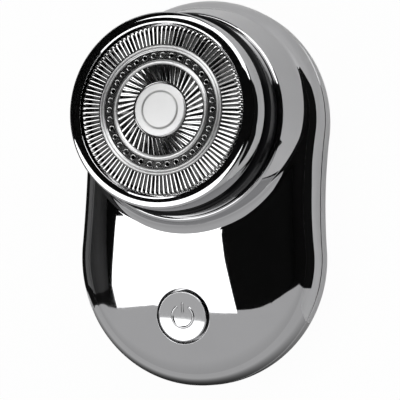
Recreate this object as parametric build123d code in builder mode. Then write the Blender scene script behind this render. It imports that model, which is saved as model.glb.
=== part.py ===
from build123d import *
import math
import os

# Small travel shaver with one round head, lying on the flat back of its case.
# X points right, Y towards the head end, Z out of the front face. The back lies on z = 0.
# Every size is in millimetres and every angle in degrees.

os.makedirs("parts", exist_ok=True)

# Case, seen from the front: two round lobes joined by shallow waist arcs
length = 68.0
lower_lobe_r = 22.1
head_shoulder = 3.85
waist_r = 106.0
wall = 1.8

# Case, seen from the side: a flat back and a pillowed front
back_depth = 9.9
back_edge_r = 8.0
front_edge_r = 8.4
crown_long_r = 125.0
crown_cross_r = 60.0
seam = 0.3
tongue_t = 0.8
tongue_h = 1.5
gasket_inset = 0.3

# Fits
press_fit = 0.05
running_fit = 0.06
free_gap = 0.3
thrust_gap = 0.1

# Motor
motor_r = 12.2
motor_h = 12.3
motor_edge = 0.8
motor_boss_r = 3.1
motor_boss_h = 1.2
motor_gap = 0.5
can_wall = 0.8
can_front_t = 1.0
end_cap_t = 0.8
end_plug_t = 1.0
armature_gap = 0.9
armature_h = 7.2
terminal_l = 2.2
terminal_w = 1.6
shaft_r = 1.0
shaft_out = 5.0
motor_screw_x = 5.6
motor_screw_l = 1.5
screw_r = 1.0
screw_head_r = 1.7
screw_head_h = 0.9
screw_l = 3.0
cradle_wall = 1.2
cradle_h = 4.0

# Drive seat, the cup in the head boss that holds the motor and carries the head
floor_t = 1.6
chamber_depth = 5.6
chamber_corner = 1.2
spigot_wall = 1.4
spigot_rise = 2.3
spigot_edge = 0.4
seat_drop = 0.4
seal_d = 0.9
seal_bite = 0.7
seal_nose = 0.3
ledge_t = 0.9
ledge_w = 1.6

# Head boss on the front shell
boss_margin = 0.7
boss_wall = 1.35
boss_step = 2.1
boss_taper = 15.0
flare_r = 2.4
bead_r = 0.5

# Head cap and the collar under it
head_rise = 10.2
collar_step = 0.6
collar_h = 3.7
collar_edge = 0.3
reveal_d = 0.3
reveal_h = 0.3
cap_taper = 0.2
lip_w = 1.95
lip_flat_w = 0.7
lip_crown_r = 4.2
lip_round = 0.45
lip_inner_round = 0.2
lip_depth = 3.2

# Foil: rings of slots and dots, counted from the middle outwards
foil_t = 0.4
foil_edge = 0.45
track_fall = 0.2
foil_skirt_t = 0.4
foil_flange_t = 0.4
foil_flange_w = 0.6
foil_float = 0.8
ridge_h = 0.2
ridge_slope = 0.1
dish_d = 0.15
dish_gap = 0.25
inner_track_w = 3.0
inner_ridge_w = 0.75
channel_w = 1.55
outer_ridge_w = 0.95
outer_track_w = 3.35
outer_slots = 108
inner_slots = 45
inner_slot_lean = 19.0
slot_inset = 0.12
slot_w = 0.4
slot_over_edge = 0.3
dots = 36
dot_r = 0.35
centre_cap_r = 4.4
centre_cap_h = 0.45
centre_groove_r = 3.3
centre_groove_w = 0.3
centre_groove_d = 0.12
pivot_r = 0.9
pivot_l = 3.2

# Rotary cutter and its hub
cutter_t = 0.5
blade_h = 2.0
blade_t = 0.45
blade_rake = 25.0
outer_blades = 18
inner_blades = 12
outer_blade_l = 2.2
inner_blade_l = 2.2
inner_blade_r0 = 5.0
cutter_hole_r = 1.3
cutter_holes = 9
hub_r = 4.0
hub_flange_r = 7.5
hub_flange_t = 0.8
hub_boss_r = 4.4

# Coupling between motor and cutter
spindle_flange_r = 3.3
spindle_flange_t = 0.8
spindle_lift = 0.4
post_flats = 3.2
post_h = 4.6
coupler_r = 3.2
coupler_skirt_t = 0.3
coupler_socket_h = 1.9
coupler_roof = 0.5
dog_flats = 4.4
dog_h = 2.5
hex_gap = 0.2

# Retainer, the three-armed frame that keeps foil and cutter in the head
retainer_t = 1.8
retainer_rim = 1.8
retainer_ring_w = 1.4
retainer_arm_w = 2.4
retainer_arms = 3
retainer_hub_gap = 0.6

# Power button
button_from_end = 12.0
button_r = 4.4
button_rim = 0.2
button_bevel = 0.25
button_land = 0.1
button_dish = 0.25
button_flange_w = 0.7
button_flange_t = 0.5
button_stem_r = 1.4
button_stem_l = 1.9
button_travel = 0.5
tube_wall = 1.2
membrane_t = 0.5

# Switch, board and charging inlet
switch_w = 6.0
switch_h = 3.5
plunger_r = 1.6
plunger_h = 1.0
board_t = 1.2
board_half_w = 12.0
board_margin = 0.8
board_post_x = 8.5
board_post_r = 2.2
usb_w = 8.94
usb_h = 3.26
usb_l = 7.3
usb_t = 0.3
usb_recess = 1.6
usb_tongue_w = 6.7
usb_tongue_t = 0.7
usb_tongue_l = 4.6

# Battery
battery_share = 0.58
battery_l = 30.0
battery_gap_share = 0.12
battery_lift = 0.4
battery_cap_share = 0.53
battery_cap_h = 1.0
battery_edge = 0.6
saddle_x = 9.0
saddle_t = 1.2
saddle_h = 4.5

# Radii of the head, worked out from the centre cap of the foil to the boss that carries it
dish_r = centre_cap_r + dish_gap
inner_ridge_r0 = dish_r + inner_track_w
inner_ridge_r1 = inner_ridge_r0 + inner_ridge_w
outer_ridge_r0 = inner_ridge_r1 + channel_w
outer_ridge_r1 = outer_ridge_r0 + outer_ridge_w
foil_r = outer_ridge_r1 + outer_track_w
lip_r = foil_r + free_gap
cap_top_r = lip_r + lip_w
cap_base_r = cap_top_r + cap_taper
collar_r = cap_base_r + collar_step
boss_r = collar_r + boss_margin
upper_lobe_r = boss_r + head_shoulder
inner_slot_r0 = dish_r + slot_inset
inner_slot_r1 = inner_ridge_r0 - slot_inset / 2
outer_slot_r0 = outer_ridge_r1 + slot_inset

# Levels along Z, stacked from the back: floor, motor, seat floor, hair chamber, head
motor_bottom = wall + motor_gap + end_cap_t
motor_top = motor_bottom + motor_h
chamber_z = motor_top + floor_t
boss_top = chamber_z + chamber_depth
apex_z = boss_top - boss_step
face_z = boss_top + head_rise
back_top = back_depth - seam / 2
front_base = back_depth + seam / 2

# Places along Y
end_y = -length / 2
head_y = length / 2 - upper_lobe_r
lower_y = lower_lobe_r - length / 2

# Waist arc, tangent to both lobes from outside
lobe_span = head_y - lower_y
reach_low = waist_r + lower_lobe_r
reach_up = waist_r + upper_lobe_r
waist_rise = (reach_low**2 - reach_up**2 + lobe_span**2) / (2 * lobe_span)
waist_x = math.sqrt(reach_low**2 - waist_rise**2)
waist_y = lower_y + waist_rise
waist_mid = (math.atan2(lower_y - waist_y, waist_x) + math.atan2(head_y - waist_y, waist_x)) / 2

# Round axes and section planes
head_axis = Axis((0, head_y, 0), (0, 0, 1))
head_section = Plane(origin=(0, head_y, 0), x_dir=(1, 0, 0), z_dir=(0, -1, 0))
crown_axis_z = apex_z - crown_long_r
button_y = end_y + button_from_end
button_z = crown_axis_z + math.sqrt(crown_long_r**2 - button_y**2)
button_ny = button_y / crown_long_r
button_nz = math.sqrt(1 - button_ny**2)
button_face = Plane(origin=(0, button_y, button_z), x_dir=(1, 0, 0), z_dir=(0, button_ny, button_nz))
button_section = Plane(
    origin=(0, button_y, button_z), x_dir=(1, 0, 0), z_dir=(0, -button_nz, button_ny)
)
button_axis = Axis((0, button_y, button_z), (0, button_ny, button_nz))

# Lower end of the button's stem, the switch under it, and the battery between switch and motor
stem_low = button_z - (button_flange_t + free_gap + wall + button_stem_l + free_gap) * button_nz
stem_y = button_y - (button_z - stem_low) / button_nz * button_ny
stem_low = stem_low - button_stem_r * abs(button_ny)
battery_room = head_y - motor_r - stem_y - switch_w / 2
battery_r = battery_share * battery_room / 2
battery_y = head_y - motor_r - battery_gap_share * battery_room - battery_r
battery_cap_r = battery_cap_share * battery_r


def body_outline(inset):
    """Front outline of the case, moved inwards by inset."""
    low_r = lower_lobe_r - inset
    up_r = upper_lobe_r - inset
    side_r = waist_r + inset
    low_x = low_r * waist_x / reach_low
    low_y = lower_y + low_r * waist_rise / reach_low
    up_x = up_r * waist_x / reach_up
    up_y = head_y + up_r * (waist_y - head_y) / reach_up
    mid_x = waist_x - side_r * math.cos(waist_mid)
    mid_y = waist_y + side_r * math.sin(waist_mid)
    with BuildSketch() as outline:
        with BuildLine():
            ThreePointArc((-low_x, low_y), (0, lower_y - low_r), (low_x, low_y))
            ThreePointArc((low_x, low_y), (mid_x, mid_y), (up_x, up_y))
            ThreePointArc((up_x, up_y), (0, head_y + up_r), (-up_x, up_y))
            ThreePointArc((-up_x, up_y), (-mid_x, mid_y), (-low_x, low_y))
        make_face()
    return outline.sketch


def crown(drop):
    """Barrel whose upper side is the pillowed front surface, lowered by drop."""
    long_r = crown_long_r - drop
    cross_r = crown_cross_r - drop
    half_w = max(lower_lobe_r, upper_lobe_r) + wall
    side_r = long_r - cross_r + math.sqrt(cross_r**2 - half_w**2)
    with BuildPart() as barrel:
        with BuildSketch(Plane(origin=(0, 0, crown_axis_z), x_dir=(1, 0, 0), z_dir=(0, 1, 0))):
            with BuildLine():
                ThreePointArc((-half_w, side_r), (0, long_r), (half_w, side_r))
                Polyline((half_w, side_r), (half_w, 0), (-half_w, 0), (-half_w, side_r))
            make_face()
        revolve(axis=Axis((0, 0, crown_axis_z), (1, 0, 0)))
    return barrel.part


def pillow(inset, edge_r):
    """Front half of the case as a full solid, inset all round and rounded at its edge."""
    with BuildPart() as block:
        with BuildSketch(Plane.XY.offset(front_base)):
            add(body_outline(inset))
        extrude(amount=apex_z - front_base + wall)
        add(crown(inset), mode=Mode.INTERSECT)
        rim = [edge for edge in block.edges() if edge.bounding_box().min.Z > front_base + wall]
        fillet(rim, radius=edge_r)
    return block.part


def ring(outer_inset, inner_inset, low, high):
    """Upright band that follows the case outline between two insets and two levels."""
    with BuildPart() as band:
        with BuildSketch(Plane.XY.offset(low)):
            add(body_outline(outer_inset))
            add(body_outline(inner_inset), mode=Mode.SUBTRACT)
        extrude(amount=high - low)
    return band.part


def turned(points, section=head_section, axis=head_axis):
    """Solid of revolution from a closed profile of radius and height."""
    with BuildPart() as solid:
        with BuildSketch(section):
            with BuildLine():
                Polyline(*points, close=True)
            make_face()
        revolve(axis=axis)
    return solid.part


# Back shell: flat back, rounded edge, tongue for the front shell, motor cradle,
# battery saddles, board posts and the opening of the charging inlet
switch_top = stem_low - free_gap - plunger_h
board_top = switch_top - switch_h
board_bottom = board_top - board_t
usb_z = board_bottom - usb_h / 2
usb_mouth_y = end_y + usb_recess
battery_z = wall + battery_lift + battery_r
board_end_y = end_y + wall + board_margin
board_head_y = battery_y - battery_r - board_margin
board_post_y = (board_end_y + board_head_y) / 2 + board_post_r
tongue_inset = wall - tongue_t

with BuildPart() as back_shell:
    with BuildSketch():
        add(body_outline(0))
    extrude(amount=back_top)
    fillet(back_shell.faces().sort_by(Axis.Z)[0].edges(), radius=min(back_edge_r, back_top - seam))
    with BuildPart(mode=Mode.PRIVATE) as back_hollow:
        with BuildSketch(Plane.XY.offset(wall)):
            add(body_outline(wall))
        extrude(amount=back_depth)
        fillet(
            back_hollow.faces().sort_by(Axis.Z)[0].edges(),
            radius=min(back_edge_r, back_top - seam) - wall,
        )
    add(back_hollow.part, mode=Mode.SUBTRACT)
    add(ring(tongue_inset, wall, back_top - seam, back_top + tongue_h))
    with BuildSketch(Plane.XY.offset(wall)):
        with Locations((0, head_y)):
            Circle(motor_r + press_fit + cradle_wall)
            Circle(motor_r + press_fit, mode=Mode.SUBTRACT)
    extrude(amount=motor_bottom - wall + cradle_h)
    with BuildSketch(Plane.XY.offset(wall)):
        with Locations((-saddle_x, battery_y), (saddle_x, battery_y)):
            Rectangle(saddle_t, 2 * battery_r - saddle_t)
    extrude(amount=saddle_h)
    with BuildSketch(Plane.YZ):
        with Locations((battery_y, battery_z)):
            Circle(battery_r + press_fit)
    extrude(amount=battery_l / 2, both=True, mode=Mode.SUBTRACT)
    with BuildSketch(Plane.XY.offset(wall)):
        with Locations((-board_post_x, board_post_y), (board_post_x, board_post_y)):
            Circle(board_post_r)
    extrude(amount=board_bottom - wall)
    with BuildSketch(Plane.XY.offset(board_bottom)):
        with Locations((-board_post_x, board_post_y), (board_post_x, board_post_y)):
            Circle(screw_r + press_fit)
    extrude(amount=-screw_l, mode=Mode.SUBTRACT)
    with BuildSketch(Plane.XZ.offset(-end_y)):
        with Locations((0, usb_z)):
            SlotOverall(usb_w + 2 * free_gap, usb_h + 2 * free_gap)
    extrude(amount=-(wall + back_edge_r), mode=Mode.SUBTRACT)
back_shell.part.label = "back_shell"
export_step(back_shell.part, "parts/back_shell.step")

# Front shell: pillowed face, flared head boss with a rounded bead, inner tube and ledge
# for the drive seat, and the button bore with its tube
boss_bore_r = boss_r - boss_wall
tube_r = button_r + button_flange_w + 2 * free_gap
tube_depth = wall + free_gap + button_flange_t + button_travel + free_gap
end_drop = crown_long_r - math.sqrt(crown_long_r**2 - end_y**2)
front_round = min(front_edge_r, 1.25 * (apex_z - end_drop - front_base))
boss_slope = math.tan(math.radians(boss_taper))
boss_low = front_base + wall
boss_low_r = boss_r + (boss_top - boss_low) * boss_slope


def on_boss_side(edge):
    """True for the edges where the tapered boss side meets the pillowed face."""
    point = edge.position_at(0.3)
    side_r = boss_r + (boss_top - point.Z) * boss_slope
    from_axis = math.hypot(point.X, point.Y - head_y)
    below_top = boss_low < point.Z < boss_top - bead_r
    return below_top and abs(from_axis - side_r) < press_fit and edge.geom_type != GeomType.LINE


with BuildPart() as front_shell:
    add(pillow(0, front_round))
    add(turned([(0, boss_low), (boss_low_r, boss_low), (boss_r, boss_top), (0, boss_top)]))
    foot = [edge for edge in front_shell.edges() if on_boss_side(edge)]
    fillet(foot, radius=flare_r)
    fillet(front_shell.edges().sort_by(Axis.Z)[-1], radius=bead_r)
    add(pillow(wall, front_round - wall), mode=Mode.SUBTRACT)
    add(ring(tongue_inset - press_fit, wall + seam, front_base, back_top + tongue_h + thrust_gap),
        mode=Mode.SUBTRACT)
    with BuildSketch(Plane.XY.offset(motor_top - ledge_t)):
        with Locations((0, head_y)):
            Circle(boss_r)
    extrude(amount=boss_top - bead_r - motor_top + ledge_t)
    with BuildSketch(Plane.XY.offset(motor_top)):
        with Locations((0, head_y)):
            Circle(boss_bore_r)
    extrude(amount=boss_top - motor_top, mode=Mode.SUBTRACT)
    with BuildSketch(Plane.XY.offset(motor_top - ledge_t)):
        with Locations((0, head_y)):
            Circle(boss_bore_r - ledge_w)
    extrude(amount=ledge_t, mode=Mode.SUBTRACT)
    with BuildSketch(button_face.offset(-tube_depth)):
        Circle(tube_r + tube_wall)
        Circle(tube_r, mode=Mode.SUBTRACT)
    extrude(amount=tube_depth - wall / 2)
    with BuildSketch(button_face.offset(-tube_depth)):
        Circle(button_r + free_gap)
    extrude(amount=tube_depth + wall, mode=Mode.SUBTRACT)
front_shell.part.label = "front_shell"
export_step(front_shell.part, "parts/front_shell.step")

# Seam gasket between the shells, set back from the surface and outside the tongue
with BuildPart() as shell_gasket:
    add(ring(gasket_inset, tongue_inset - press_fit, back_top, front_base))
shell_gasket.part.label = "shell_gasket"
export_step(shell_gasket.part, "parts/shell_gasket.step")

# Drive seat: cup with a floor for the motor, the hair chamber and the spigot of the head
seat_r = boss_bore_r - press_fit
seat_top = boss_top - seat_drop
flange_r = foil_r + foil_flange_w
cap_bore_r = flange_r + 3 * press_fit
groove_r = cap_bore_r - running_fit - seal_d
spigot_r = groove_r + seal_bite
chamber_r = spigot_r - spigot_wall
spigot_top = boss_top + spigot_rise
seal_z = (boss_top + spigot_top) / 2 + press_fit
groove_half = seal_d / 2 + press_fit

with BuildPart() as drive_seat:
    add(
        turned(
            [
                (motor_boss_r + free_gap, motor_top),
                (seat_r, motor_top),
                (seat_r, seat_top),
                (spigot_r, seat_top),
                (spigot_r, seal_z - groove_half),
                (groove_r, seal_z - groove_half),
                (groove_r, seal_z + groove_half),
                (spigot_r, seal_z + groove_half),
                (spigot_r, spigot_top - spigot_edge),
                (spigot_r - spigot_edge, spigot_top),
                (chamber_r, spigot_top),
                (chamber_r, chamber_z + chamber_corner),
                (chamber_r - chamber_corner, chamber_z),
                (motor_boss_r + free_gap, chamber_z),
            ]
        )
    )
    with BuildSketch(Plane.XY.offset(motor_top)):
        with Locations((-motor_screw_x, head_y), (motor_screw_x, head_y)):
            Circle(screw_r + press_fit)
    extrude(amount=floor_t, mode=Mode.SUBTRACT)
drive_seat.part.label = "drive_seat"
export_step(drive_seat.part, "parts/drive_seat.step")

# Ring seal in the groove of the spigot, with a bevelled nose that the head slides over
seal_low = seal_z - seal_d / 2
seal_high = seal_z + seal_d / 2
seal_out_r = groove_r + seal_d

with BuildPart() as head_seal:
    add(
        turned(
            [
                (groove_r, seal_low),
                (seal_out_r - seal_nose, seal_low),
                (seal_out_r, seal_low + seal_nose),
                (seal_out_r, seal_high - seal_nose),
                (seal_out_r - seal_nose, seal_high),
                (groove_r, seal_high),
            ]
        )
    )
head_seal.part.label = "head_seal"
export_step(head_seal.part, "parts/head_seal.step")

# Motor can: drawn steel cup with the front bearing boss and two tapped holes
shaft_top = motor_top + motor_boss_h + shaft_out
shaft_bottom = motor_bottom + thrust_gap
can_bore_r = motor_r - can_wall
shaft_hole_r = shaft_r + running_fit

with BuildPart() as motor_can:
    add(
        turned(
            [
                (can_bore_r, motor_bottom),
                (motor_r, motor_bottom),
                (motor_r, motor_top - motor_edge),
                (motor_r - motor_edge, motor_top),
                (motor_boss_r, motor_top),
                (motor_boss_r, motor_top + motor_boss_h),
                (shaft_hole_r, motor_top + motor_boss_h),
                (shaft_hole_r, motor_top - can_front_t),
                (can_bore_r, motor_top - can_front_t),
            ]
        )
    )
    with BuildSketch(Plane.XY.offset(motor_top)):
        with Locations((-motor_screw_x, head_y), (motor_screw_x, head_y)):
            Circle(screw_r + press_fit)
    extrude(amount=-can_front_t, mode=Mode.SUBTRACT)
motor_can.part.label = "motor_can"
export_step(motor_can.part, "parts/motor_can.step")

# Rear cap that plugs the can, with the rear bearing and two flat terminals
end_cap_r = can_bore_r - press_fit

with BuildPart() as motor_end_cap:
    with BuildSketch(Plane.XY.offset(motor_bottom - end_cap_t)):
        with Locations((0, head_y)):
            Circle(end_cap_r)
    extrude(amount=end_cap_t + end_plug_t)
    chamfer(motor_end_cap.faces().sort_by(Axis.Z)[0].edges(), length=end_cap_t / 2)
    with BuildSketch(Plane.XY.offset(motor_bottom)):
        with Locations((0, head_y)):
            Circle(shaft_hole_r)
    extrude(amount=end_plug_t, mode=Mode.SUBTRACT)
    with BuildSketch(Plane.XY.offset(motor_bottom - end_cap_t)):
        with Locations((-end_cap_r / 2, head_y), (end_cap_r / 2, head_y)):
            Rectangle(terminal_w, terminal_l)
    extrude(amount=-motor_gap / 2)
motor_end_cap.part.label = "motor_end_cap"
export_step(motor_end_cap.part, "parts/motor_end_cap.step")

# Wound armature on the shaft, three poles with slots between them
armature_r = can_bore_r - armature_gap
armature_z = motor_bottom + end_plug_t + armature_gap

with BuildPart() as motor_armature:
    with BuildSketch(Plane.XY.offset(armature_z)):
        with Locations((0, head_y)):
            Circle(armature_r)
            Circle(shaft_r + press_fit, mode=Mode.SUBTRACT)
            with PolarLocations(armature_r, 3, 90):
                Circle(armature_r / 4, mode=Mode.SUBTRACT)
    extrude(amount=armature_h)
motor_armature.part.label = "motor_armature"
export_step(motor_armature.part, "parts/motor_armature.step")

# Two screws through the chamber floor into the motor
with BuildPart() as motor_screws:
    with BuildSketch(Plane.XY.offset(chamber_z)):
        with Locations((-motor_screw_x, head_y), (motor_screw_x, head_y)):
            Circle(screw_head_r)
    extrude(amount=screw_head_h)
    with BuildSketch(Plane.XY.offset(chamber_z)):
        with Locations((-motor_screw_x, head_y), (motor_screw_x, head_y)):
            Circle(screw_r)
    extrude(amount=-(floor_t + motor_screw_l))
motor_screws.part.label = "motor_screws"
export_step(motor_screws.part, "parts/motor_screws.step")

# Motor shaft
with BuildPart() as motor_shaft:
    with BuildSketch(Plane.XY.offset(shaft_bottom)):
        with Locations((0, head_y)):
            Circle(shaft_r)
    extrude(amount=shaft_top - shaft_bottom)
motor_shaft.part.label = "motor_shaft"
export_step(motor_shaft.part, "parts/motor_shaft.step")

# Drive spindle: flange and six-sided post pressed on the shaft
spindle_z = chamber_z + spindle_lift
post_z = spindle_z + spindle_flange_t
post_top = post_z + post_h

with BuildPart() as drive_spindle:
    with BuildSketch(Plane.XY.offset(spindle_z)):
        with Locations((0, head_y)):
            Circle(spindle_flange_r)
    extrude(amount=spindle_flange_t)
    with BuildSketch(Plane.XY.offset(post_z)):
        with Locations((0, head_y)):
            RegularPolygon(post_flats / 2, 6, major_radius=False)
    extrude(amount=post_h)
    chamfer(drive_spindle.faces().sort_by(Axis.Z)[-1].edges(), length=press_fit * 4)
    with BuildSketch(Plane.XY.offset(spindle_z)):
        with Locations((0, head_y)):
            Circle(shaft_r + press_fit)
    extrude(amount=shaft_top - spindle_z + thrust_gap, mode=Mode.SUBTRACT)
drive_spindle.part.label = "drive_spindle"
export_step(drive_spindle.part, "parts/drive_spindle.step")

# Drive coupler: sleeve on the post, hollow below for its spring, six-sided dog on top
coupler_bottom = post_z + foil_float + free_gap
coupler_roof_z = post_top + foil_float + thrust_gap
dog_z = coupler_roof_z + coupler_roof
dog_top = dog_z + dog_h
spring_room_r = coupler_r - coupler_skirt_t

with BuildPart() as drive_coupler:
    with BuildSketch(Plane.XY.offset(coupler_bottom)):
        with Locations((0, head_y)):
            Circle(coupler_r)
    extrude(amount=dog_z - coupler_bottom)
    with BuildSketch(Plane.XY.offset(dog_z)):
        with Locations((0, head_y)):
            RegularPolygon(dog_flats / 2, 6, major_radius=False)
    extrude(amount=dog_h)
    chamfer(drive_coupler.faces().sort_by(Axis.Z)[-1].edges(), length=hex_gap)
    with BuildSketch(Plane.XY.offset(coupler_bottom)):
        with Locations((0, head_y)):
            RegularPolygon(post_flats / 2 + hex_gap, 6, major_radius=False)
    extrude(amount=coupler_roof_z - coupler_bottom, mode=Mode.SUBTRACT)
    with BuildSketch(Plane.XY.offset(coupler_bottom)):
        with Locations((0, head_y)):
            Circle(spring_room_r)
    extrude(amount=coupler_roof_z - coupler_socket_h - coupler_bottom, mode=Mode.SUBTRACT)
drive_coupler.part.label = "drive_coupler"
export_step(drive_coupler.part, "parts/drive_coupler.step")

# Head collar: band over the boss, with a neck that leaves a fine reveal line under the cap
collar_z = boss_top + free_gap
band_z = collar_z + collar_h
cap_z = band_z + reveal_h
neck_r = cap_base_r - reveal_d

with BuildPart() as head_collar:
    add(
        turned(
            [
                (cap_bore_r, collar_z),
                (collar_r, collar_z),
                (collar_r, band_z - collar_edge),
                (collar_r - collar_edge, band_z),
                (neck_r, band_z),
                (neck_r, cap_z - press_fit),
                (cap_bore_r, cap_z - press_fit),
            ]
        )
    )
head_collar.part.label = "head_collar"
export_step(head_collar.part, "parts/head_collar.step")

# Head cap: slightly tapered side, and a lip that is flat inside and curves down to a rounded edge
lip_low = face_z - lip_depth
lip_in_r = lip_r + lip_inner_round
lip_flat_r = lip_r + lip_flat_w
edge_mid_r = cap_top_r - lip_round
crown_turn = math.asin((edge_mid_r - lip_flat_r) / (lip_crown_r - lip_round))
edge_mid_z = face_z - lip_crown_r + (lip_crown_r - lip_round) * math.cos(crown_turn)
lip_out = (
    lip_flat_r + lip_crown_r * math.sin(crown_turn),
    face_z - lip_crown_r * (1 - math.cos(crown_turn)),
)

with BuildPart() as head_cap:
    with BuildSketch(head_section):
        with BuildLine():
            Polyline(
                (cap_top_r, edge_mid_z),
                (cap_base_r, cap_z),
                (cap_bore_r, cap_z),
                (cap_bore_r, lip_low),
                (lip_r, lip_low),
                (lip_r, face_z - lip_inner_round),
            )
            RadiusArc((cap_top_r, edge_mid_z), lip_out, -lip_round)
            RadiusArc(lip_out, (lip_flat_r, face_z), -lip_crown_r)
            Line((lip_flat_r, face_z), (lip_in_r, face_z))
            RadiusArc((lip_in_r, face_z), (lip_r, face_z - lip_inner_round), -lip_inner_round)
        make_face()
    revolve(axis=head_axis)
head_cap.part.label = "head_cap"
export_step(head_cap.part, "parts/head_cap.step")

# Foil: drawn cup with raised rings, a channel of dots and two tracks of slots, the outer one falling
flange_top = lip_low - thrust_gap
flange_low = flange_top - foil_flange_t
foil_under = face_z - foil_t
foil_inner_r = foil_r - foil_skirt_t
ridge_z = face_z + ridge_h
foil_edge_z = face_z - track_fall
dish_z = face_z - dish_d
ridge_mid = (outer_ridge_r0 + outer_ridge_r1) / 2
channel_r = (inner_ridge_r1 + outer_ridge_r0) / 2
stem_hole_r = pivot_r + free_gap

with BuildPart() as foil:
    add(
        turned(
            [
                (stem_hole_r, foil_under),
                (foil_inner_r, foil_under),
                (foil_inner_r, flange_low),
                (flange_r, flange_low),
                (flange_r, flange_top),
                (foil_r, flange_top),
                (foil_r, foil_edge_z - foil_edge),
                (foil_r - foil_edge, foil_edge_z),
                (outer_ridge_r1, face_z),
                (outer_ridge_r1 - ridge_slope, ridge_z),
                (ridge_mid + ridge_slope, ridge_z),
                (ridge_mid, face_z),
                (ridge_mid - ridge_slope, ridge_z),
                (outer_ridge_r0 + ridge_slope, ridge_z),
                (outer_ridge_r0, dish_z),
                (inner_ridge_r1, dish_z),
                (inner_ridge_r1 - ridge_slope, ridge_z),
                (inner_ridge_r0 + ridge_slope, ridge_z),
                (inner_ridge_r0, face_z),
                (dish_r, face_z),
                (dish_r, dish_z),
                (stem_hole_r, dish_z),
            ]
        )
    )
    with BuildSketch(Plane.XY.offset(foil_edge_z - foil_edge - slot_over_edge)):
        with Locations((0, head_y)):
            with PolarLocations((outer_slot_r0 + foil_r + free_gap) / 2, outer_slots):
                Rectangle(foil_r + free_gap - outer_slot_r0, slot_w)
    extrude(amount=slot_over_edge + foil_edge + track_fall + ridge_h, mode=Mode.SUBTRACT)
    with BuildSketch(Plane.XY.offset(foil_under)):
        with Locations((0, head_y)):
            with PolarLocations((inner_slot_r0 + inner_slot_r1) / 2, inner_slots):
                Rectangle(inner_slot_r1 - inner_slot_r0, slot_w, rotation=inner_slot_lean)
            with PolarLocations(channel_r, dots):
                Circle(dot_r)
    extrude(amount=foil_t + ridge_h, mode=Mode.SUBTRACT)
foil.part.label = "foil"
export_step(foil.part, "parts/foil.step")

# Centre cap of the foil with a turned groove, and the pivot pin that centres the cutter
cap_edge = centre_cap_h / 3
groove_in = centre_groove_r - centre_groove_w / 2
groove_out = centre_groove_r + centre_groove_w / 2
centre_top = dish_z + centre_cap_h

with BuildPart() as foil_centre_cap:
    add(
        turned(
            [
                (0, foil_under - pivot_l),
                (pivot_r, foil_under - pivot_l),
                (pivot_r, dish_z),
                (centre_cap_r, dish_z),
                (centre_cap_r, centre_top - cap_edge),
                (centre_cap_r - cap_edge, centre_top),
                (groove_out, centre_top),
                (groove_out, centre_top - centre_groove_d),
                (groove_in, centre_top - centre_groove_d),
                (groove_in, centre_top),
                (0, centre_top),
            ]
        )
    )
foil_centre_cap.part.label = "foil_centre_cap"
export_step(foil_centre_cap.part, "parts/foil_centre_cap.step")

# Rotary cutter: stamped disc with two rings of raked blades that run under the slots
blade_top = foil_under - running_fit
cutter_top = blade_top - blade_h
cutter_z = cutter_top - cutter_t
cutter_r = foil_inner_r - free_gap
blade_lean = blade_h * math.tan(math.radians(blade_rake))


def blade(blade_l):
    """One raked blade, centred on the origin with its length along X."""
    with BuildPart() as raked:
        with BuildSketch(Plane.YZ.offset(-blade_l / 2)):
            with BuildLine():
                Polyline(
                    (-blade_lean / 2 - blade_t / 2, 0),
                    (-blade_lean / 2 + blade_t / 2, 0),
                    (blade_lean / 2 + blade_t / 2, blade_h),
                    (blade_lean / 2 - blade_t / 2, blade_h),
                    close=True,
                )
            make_face()
        extrude(amount=blade_l)
    return raked.part


with BuildPart() as rotary_cutter:
    with BuildSketch(Plane.XY.offset(cutter_z)):
        with Locations((0, head_y)):
            Circle(cutter_r)
            Circle(hub_boss_r + press_fit, mode=Mode.SUBTRACT)
            with PolarLocations((outer_slot_r0 + inner_slot_r1) / 2, cutter_holes):
                Circle(cutter_hole_r, mode=Mode.SUBTRACT)
    extrude(amount=cutter_t)
    with Locations((0, head_y, cutter_top)):
        with PolarLocations(cutter_r - free_gap - outer_blade_l / 2, outer_blades):
            add(blade(outer_blade_l))
        with PolarLocations(inner_blade_r0 + inner_blade_l / 2, inner_blades):
            add(blade(inner_blade_l))
rotary_cutter.part.label = "rotary_cutter"
export_step(rotary_cutter.part, "parts/rotary_cutter.step")

# Cutter hub: flange under the disc, bearing for the pivot pin, six-sided socket for the dog
hub_bottom = dog_z + thrust_gap
hub_top = cutter_top
pivot_low = foil_under - pivot_l

with BuildPart() as cutter_hub:
    add(
        turned(
            [
                (0, hub_bottom),
                (hub_r, hub_bottom),
                (hub_r, cutter_z - hub_flange_t),
                (hub_flange_r, cutter_z - hub_flange_t),
                (hub_flange_r, cutter_z),
                (hub_boss_r, cutter_z),
                (hub_boss_r, hub_top),
                (pivot_r + running_fit, hub_top),
                (pivot_r + running_fit, pivot_low - free_gap),
                (0, pivot_low - free_gap),
            ]
        )
    )
    with BuildSketch(Plane.XY.offset(hub_bottom)):
        with Locations((0, head_y)):
            RegularPolygon(dog_flats / 2 + hex_gap, 6, major_radius=False)
    extrude(amount=dog_h + free_gap, mode=Mode.SUBTRACT)
cutter_hub.part.label = "cutter_hub"
export_step(cutter_hub.part, "parts/cutter_hub.step")

# Retainer: rim in the cap bore, arms, and a ring round the hub
retainer_z = spigot_top + free_gap + thrust_gap
retainer_r = cap_bore_r - press_fit
ring_in = hub_r + retainer_hub_gap

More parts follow.
